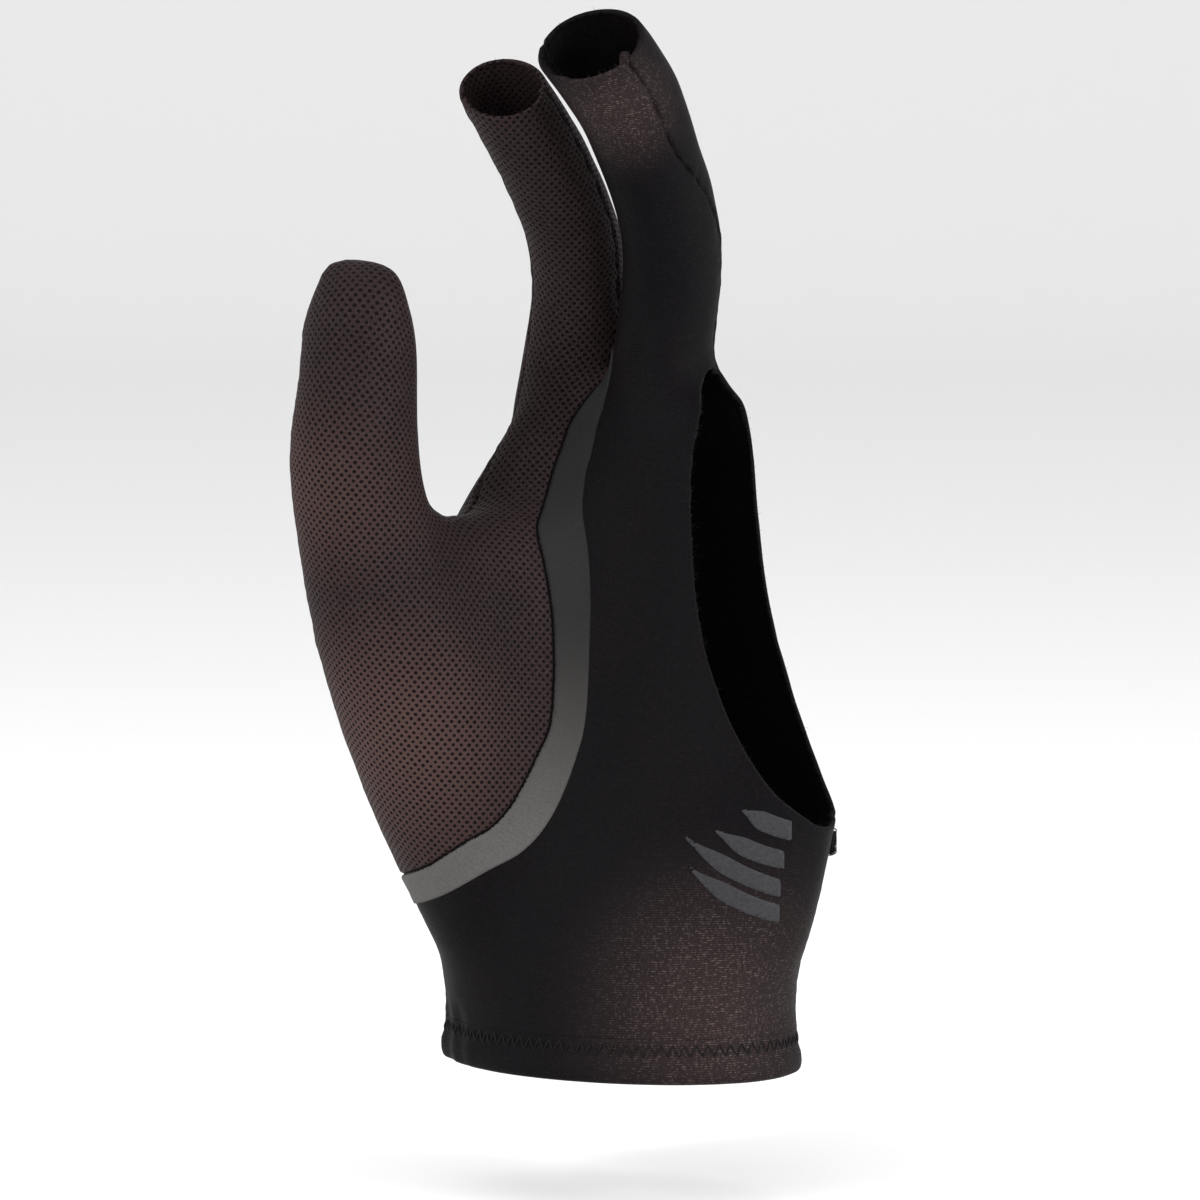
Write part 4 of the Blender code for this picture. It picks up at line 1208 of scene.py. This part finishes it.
def mesh_cloth_material():
    """Warp-knitted mesh: rows of small oval holes, each row set off by half a pitch. The holes are
    painted dark as painted shade of the glove's inside, and paler patches are painted highlights.
    """
    mat, tree, shader = new_material("mesh_cloth", 0.62)
    n = Nodes(tree)
    place, u, v = n.cloth()
    spot = n.add("TexCoord").outputs["Object"]
    drift = n.math("MULTIPLY", n.math("SUBTRACT", n.noise(spot, 70.0, 1.0), 0.5), 0.12 * MM)
    u = n.math("DIVIDE", n.math("ADD", u, drift), HOLE_PITCH)
    v = n.math("DIVIDE", n.math("ADD", v, drift), HOLE_ROW)
    row = n.math("FLOOR", v)
    odd = n.math("MULTIPLY", n.math("FLOORED_MODULO", row, 2.0), 0.5)
    column = n.math("FLOOR", n.math("ADD", u, odd))
    across = n.math("SUBTRACT", n.math("FRACT", n.math("ADD", u, odd)), 0.5)
    up = n.math("SUBTRACT", n.math("FRACT", v), 0.5)
    ax = n.math("MULTIPLY", across, HOLE_PITCH / HOLE_HALF_WIDTH)
    az = n.math("MULTIPLY", up, HOLE_ROW / HOLE_HALF_HEIGHT)
    distance = n.math("SQRT", n.math("ADD", n.math("MULTIPLY", ax, ax), n.math("MULTIPLY", az, az)))
    cell = n.add("CombineXYZ", X=column, Y=row)
    chance = n.add("TexWhiteNoise", Vector=cell.outputs[0])
    distance = n.math("ADD", distance, n.math("MULTIPLY", chance.outputs["Value"], 0.22))
    yarn = n.ramp(distance, 0.75, 1.35)
    strand = n.add("TexWave", Vector=place, Scale=0.5 / STRAND_PITCH, Distortion=3.0, Detail=2.0)
    tone = n.noise(spot, 55.0, 3.0)
    fuzz = n.noise(spot, 4200.0, 2.0)
    body = n.mix(n.ramp(tone, 0.3, 0.7), MESH_DARK, MESH_LIGHT)
    # Painted highlight: the mesh is paler in patches where the light falls on it.
    body = n.mix(n.patches(spot, MESH_HIGHLIGHT_PATCHES), body, MESH_PAINTED_HIGHLIGHT)
    body = n.mix(n.math("MULTIPLY", n.ramp(fuzz, 0.45, 0.8), 0.5), body, MESH_FUZZ)
    # Painted shade: the holes take a dark colour for the shaded inside of the glove behind them.
    colour = n.mix(yarn, MESH_HOLE_SHADE, body)
    tree.links.new(colour, shader.inputs["Base Color"])
    relief = n.math("ADD", yarn, n.math("MULTIPLY", strand.outputs["Fac"], 0.22))
    relief = n.math("ADD", relief, n.math("MULTIPLY", fuzz, 0.25))
    tree.links.new(n.bump(relief, 0.22 * MM, 0.9), shader.inputs["Normal"])
    tree.links.new(n.ramp(yarn, 0.0, 1.0, 0.9, 0.55), shader.inputs["Roughness"])
    shader.inputs["Sheen Weight"].default_value = 0.02
    shader.inputs["Sheen Roughness"].default_value = 0.45
    shader.inputs["Sheen Tint"].default_value = (0.75, 0.6, 0.58, 1)
    shader.inputs["Specular IOR Level"].default_value = 0.07
    return mat


def knit_material():
    """Fine satin knit: courses and wales in relief, with flecks of lower roughness whose bright colour
    is a painted glint, shown mostly in the painted highlight patches.
    """
    mat, tree, shader = new_material("knit_cloth", 0.5)
    n = Nodes(tree)
    _, u, v = n.cloth()
    spot = n.add("TexCoord").outputs["Object"]
    sway = n.math("MULTIPLY", n.noise(spot, 260.0, 2.0), 0.10 * MM)
    course = n.math("SINE", n.math("MULTIPLY", n.math("ADD", v, sway), 2 * math.pi / COURSE_PITCH))
    wale = n.math("SINE", n.math("MULTIPLY", n.math("ADD", u, sway), 2 * math.pi / WALE_PITCH))
    cell = n.add("CombineXYZ", X=n.math("FLOOR", n.math("DIVIDE", u, FLECK_SIZE)),
                 Y=n.math("FLOOR", n.math("DIVIDE", v, COURSE_PITCH)))
    chance = n.add("TexWhiteNoise", Vector=cell.outputs[0]).outputs["Value"]
    patchy = n.noise(spot, 1900.0, 2.0, 0.6)
    flecks_and_glints = n.math("MULTIPLY", n.ramp(chance, 0.20, 0.9), n.ramp(patchy, 0.42, 0.62))
    flecks_and_glints = n.math("MULTIPLY", flecks_and_glints, n.ramp(course, -0.4, 0.7))
    tone = n.noise(spot, 45.0, 3.0)
    body = n.mix(n.ramp(tone, 0.3, 0.7), KNIT_DARK, KNIT_LIGHT)
    # Painted highlight: the knit is paler brown in patches where the light falls, and its flecks show
    # mostly there.
    painted_highlight = n.patches(spot, KNIT_HIGHLIGHT_PATCHES)
    body = n.mix(painted_highlight, body, KNIT_PAINTED_HIGHLIGHT)
    flecks_and_glints = n.math("MULTIPLY", flecks_and_glints, n.ramp(painted_highlight, 0.0, 1.0, 0.06, 1.0))
    # The flecks' bright colour is a painted glint; their lower roughness is real.
    colour = n.mix(flecks_and_glints, body, KNIT_PAINTED_GLINT)
    tree.links.new(colour, shader.inputs["Base Color"])
    relief = n.math("ADD", n.math("MULTIPLY", course, 0.5), n.math("MULTIPLY", wale, 0.25))
    relief = n.math("ADD", relief, n.math("MULTIPLY", chance, 0.9))
    tree.links.new(n.bump(relief, 0.05 * MM, 0.8), shader.inputs["Normal"])
    tree.links.new(n.ramp(flecks_and_glints, 0.0, 1.0, 0.56, 0.34), shader.inputs["Roughness"])
    shader.inputs["Sheen Weight"].default_value = 0.006
    shader.inputs["Sheen Roughness"].default_value = 0.35
    shader.inputs["Sheen Tint"].default_value = (0.8, 0.62, 0.6, 1)
    shader.inputs["Specular IOR Level"].default_value = 0.05
    return mat


def tape_material():
    """Matt grey tape with faint cross ribs; its tone darkens slightly towards the fingers, as painted
    shade there and painted light low down.
    """
    mat, tree, shader = new_material("grey_tape", 0.75, Specular_IOR_Level=0.15)
    n = Nodes(tree)
    _, _, v = n.cloth()
    spot = n.add("TexCoord").outputs["Object"]
    height = n.add("SeparateXYZ", Vector=spot).outputs["Z"]
    # Painted light and shade: the tape is paler low down and darker higher up, towards the fingers.
    rise = n.ramp(height, 0.030, 0.085)
    body = n.mix(rise, TAPE_PAINTED_LIGHT_LOW, TAPE_PAINTED_SHADE_HIGH)
    grain = n.noise(spot, 2600.0, 2.0)
    body = n.mix(n.math("MULTIPLY", n.ramp(grain, 0.3, 0.8), 0.35), body, TAPE_GRAIN)
    tree.links.new(body, shader.inputs["Base Color"])
    rib = n.math("SINE", n.math("MULTIPLY", v, 2 * math.pi / RIB_PITCH))
    relief = n.math("ADD", n.math("MULTIPLY", rib, 0.5), grain)
    tree.links.new(n.bump(relief, 0.04 * MM, 0.7), shader.inputs["Normal"])
    return mat


def print_material():
    """Thin rubbery print, through which the knit's courses show."""
    mat, tree, shader = new_material("bar_print", 0.6, Specular_IOR_Level=0.15)
    n = Nodes(tree)
    _, _, v = n.cloth()
    spot = n.add("TexCoord").outputs["Object"]
    worn = n.ramp(n.noise(spot, 1500.0, 3.0, 0.7), 0.35, 0.75)
    colour = n.mix(worn, PRINT_FULL, PRINT_WORN)
    tree.links.new(colour, shader.inputs["Base Color"])
    course = n.math("SINE", n.math("MULTIPLY", v, 2 * math.pi / COURSE_PITCH))
    tree.links.new(n.bump(course, 0.02 * MM, 0.5), shader.inputs["Normal"])
    return mat


def thread_material():
    """Twisted black sewing thread with a slight shine."""
    mat, tree, shader = new_material("black_thread", 0.55, Specular_IOR_Level=0.12)
    n = Nodes(tree)
    spot = n.add("TexCoord").outputs["Object"]
    twist = n.noise(spot, 3800.0, 2.0)
    colour = n.mix(twist, THREAD_DARK, THREAD_LIGHT)
    tree.links.new(colour, shader.inputs["Base Color"])
    tree.links.new(n.bump(twist, 0.03 * MM, 0.8), shader.inputs["Normal"])
    return mat


def floor_material():
    mat, _, shader = new_material("pale_floor", 0.8)
    shader.inputs["Base Color"].default_value = (0.9, 0.9, 0.9, 1)
    return mat


def link_new(name, data):
    ob = bpy.data.objects.new(name, data)
    bpy.context.scene.collection.objects.link(ob)
    return ob


def aim(ob, azimuth, elevation, distance):
    """Sets a light or the camera at a distance from the glove, turned to it."""
    back = Vector((math.sin(azimuth) * math.cos(elevation), -math.cos(azimuth) * math.cos(elevation),
                   math.sin(elevation)))
    ob.location = Vector(VIEW_TARGET) + back * distance
    ob.rotation_euler = back.to_track_quat("Z", "Y").to_euler()


def studio():
    """Pale floor that runs up into a backdrop, soft lights and the camera."""
    reach, rise, bend, steps = 3.0, 3.0, 0.8, 16
    profile = [(-reach, 0.0), (reach, 0.0)]
    for k in range(1, steps + 1):
        angle = math.pi / 2 * k / steps
        profile.append((reach + bend * math.sin(angle), bend * (1 - math.cos(angle))))
    profile.append((reach + bend, rise))
    points, faces = [], []
    for y, z in profile:
        points += [(-4 * reach, y, z), (4 * reach, y, z)]
    for k in range(len(profile) - 1):
        faces.append((2 * k, 2 * k + 1, 2 * k + 3, 2 * k + 2))
    mesh = bpy.data.meshes.new("pale_floor")
    mesh.from_pydata(points, [], faces)
    floor = finish_piece(link_new("pale_floor", mesh), floor_material())
    floor.location.z = -FLOOR_BELOW
    floor.rotation_euler.z = VIEW_AZIMUTH

    scene = bpy.context.scene
    scene.view_settings.view_transform = "Standard"
    scene.world = bpy.data.worlds.new("studio")
    scene.world.use_nodes = True
    background = scene.world.node_tree.nodes["Background"]
    background.inputs["Color"].default_value = (1, 1, 1, 1)
    background.inputs["Strength"].default_value = WORLD_STRENGTH
    for light in LIGHTS:
        data = bpy.data.lights.new(light.name, "AREA")
        data.shape = "RECTANGLE"
        data.size, data.size_y = light.wide, light.high
        data.energy = light.power
        aim(link_new(light.name, data), VIEW_AZIMUTH + math.radians(light.turn),
            math.radians(light.rise), light.away)

    data = bpy.data.cameras.new("camera")
    data.sensor_width = SENSOR_WIDTH
    data.lens = data.sensor_width * VIEW_DISTANCE / VIEW_SPAN
    scene.camera = link_new("camera", data)
    aim(scene.camera, VIEW_AZIMUTH, VIEW_ELEVATION, VIEW_DISTANCE)


def settle(ob, *nodes, slot):
    """The piece stands for these CAD nodes and moves with the glove."""
    if nodes:
        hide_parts(*nodes)
    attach(ob, "root")
    return ob


def rim_edges(skin, level):
    """The edges of the skin's outline on which the level is close to zero."""
    _, rim = edge_counts(skin.triangles)
    return rim[(abs(level[rim]) < 0.05 * MM).all(1)]


def dress_panels(skin, kept, palm, knit, hem, finishes):
    """The four panels and the hem, each with its cloth coordinates."""
    skins = {}
    for cloth, wanted, thick in (("mesh", ~knit, MESH_THICK), ("knit", knit, KNIT_THICK)):
        for side, half in (("palm", palm), ("back", ~palm)):
            part = skin.part(kept & half & wanted & ~hem)
            part.values["flat"] = part.values["flat_" + side]
            name = f"{side}_{cloth}"
            piece = cloth_piece(name + "_cloth", part, thick, finishes[cloth])
            settle(piece, name + "_panel", slot=cloth + "_cloth")
            skins[name] = part
    part = skin.part(kept & hem)
    turn = np.arctan2(part.points[:, 1], part.points[:, 0])
    part.values["flat"] = np.stack([turn * WRIST_HALF_DEPTH, part.points[:, 2]], 1)
    settle(cloth_piece("hem_cloth", part, HEM_THICK, finishes["knit"]), "wrist_hem", slot="knit_cloth")
    return skins


def lay_tape(part, finish):
    """The grey tape, bonded on the cloth beside the seam and thinner at its sides."""
    v = part.values
    ends = np.minimum(v["edge"] - TAPE_START, v["tape"] - v["plain_edge"])
    lift = TAPE_LIFT - rolled(ends, TAPE_ROLL)
    part.points = part.points + v["normal"] * lift[:, None]
    v["flat"] = np.stack([v["edge"], v["along"]], 1)
    tape = cloth_piece("grey_seam_tape", part, TAPE_LIFT + TAPE_SUNK, finish)
    settle(tape, "seam_band", slot="grey_tape")


def print_bar(name, part, finish):
    part.points = part.points + part.values["normal"] * PRINT_LIFT
    part.values["flat"] = part.values["flat_palm"]
    settle(cloth_piece(name, part, PRINT_LIFT + PRINT_SUNK, finish), slot="knit_cloth")


def seam_ends(skin, finish):
    """The nubs in which the side seam ends at the opening, and at the middle sleeve's end."""
    low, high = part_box("side_seam_tab")
    tab = np.array((low + high) / 2)
    tab -= np.array([*(tab[:2] / np.linalg.norm(tab[:2]) * SIDE_NUB_INWARD), -SIDE_NUB_UP])
    settle(seam_nub("side_seam_nub", tab, 1.0, finish), "side_seam_tab", slot="knit_cloth")
    v = skin.values
    outer = (v["edge"] > 0) & (skin.points[:, 0] > MIDDLE_SIDE)
    away = abs(v["half"]) + abs(v["middle_end"]) + np.where(outer, 0, 1)
    fin = skin.points[np.argmin(away)]
    settle(seam_nub("middle_seam_end", fin, SLEEVE_NUB_SHRINK, finish), slot="knit_cloth")


def glove():
    skin = shape_cloth(cut_lines(measured_skin()))
    for bar in BARS:
        skin.cut(bar_field(skin, bar))
    mid = skin.middle_of
    v = skin.values
    above = mid(skin.points[:, 2]) > 0
    knit = mid(v["edge"]) > 0
    palm = mid(v["half"]) < 0
    hem = mid(v["rest"][:, 2]) < HEM_HEIGHT
    short = above & np.where(knit, mid(v["middle_end"]) < 0, mid(v["index_end"]) < 0)
    kept = short & (~knit | (mid(v["open"]) < 0))
    for name, half in (("flat_palm", palm), ("flat_back", ~palm)):
        used, back = np.unique(skin.triangles[short & half], return_inverse=True)
        flat = np.zeros((len(skin.points), 2))
        flat[used] = flat_layout(Skin(skin.points[used], back.reshape(-1, 3), {}))
        v[name] = flat

    thread_finish = thread_material()
    knit_finish = knit_material()
    finishes = {"mesh": mesh_cloth_material(), "knit": knit_finish}
    skins = dress_panels(skin, kept, palm, knit, hem, finishes)
    taped = (mid(v["edge"]) > TAPE_START) & (mid(v["tape"] - v["plain_edge"]) > 0)
    lay_tape(skin.part(kept & palm & taped), tape_material())
    print_finish = print_material()
    for number, bar in enumerate(BARS, 1):
        part = skin.part(kept & palm & (mid(bar_field(skin, bar)) > 0))
        print_bar(f"printed_bar_{number}", part, print_finish)
    settle(hem_stitches(skin.part(kept), thread_finish), slot="knit_cloth")
    seam_ends(skin, knit_finish)
    for end, cloth, level, per_metre in (("opening", "knit", "open", KNIT_FIBRES),
                                         ("middle_end", "knit", "middle_end", KNIT_FIBRES),
                                         ("index_end", "mesh", "index_end", MESH_FIBRES)):
        for side in ("palm", "back"):
            part = skins[f"{side}_{cloth}"]
            name = f"{side}_{end}"
            edges = rim_edges(part, part.values[level])
            fibres = loose_fibres(name + "_fibres", part, edges, per_metre, len(name), thread_finish)
            settle(fibres, slot=cloth + "_cloth")


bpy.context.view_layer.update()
glove()
studio()
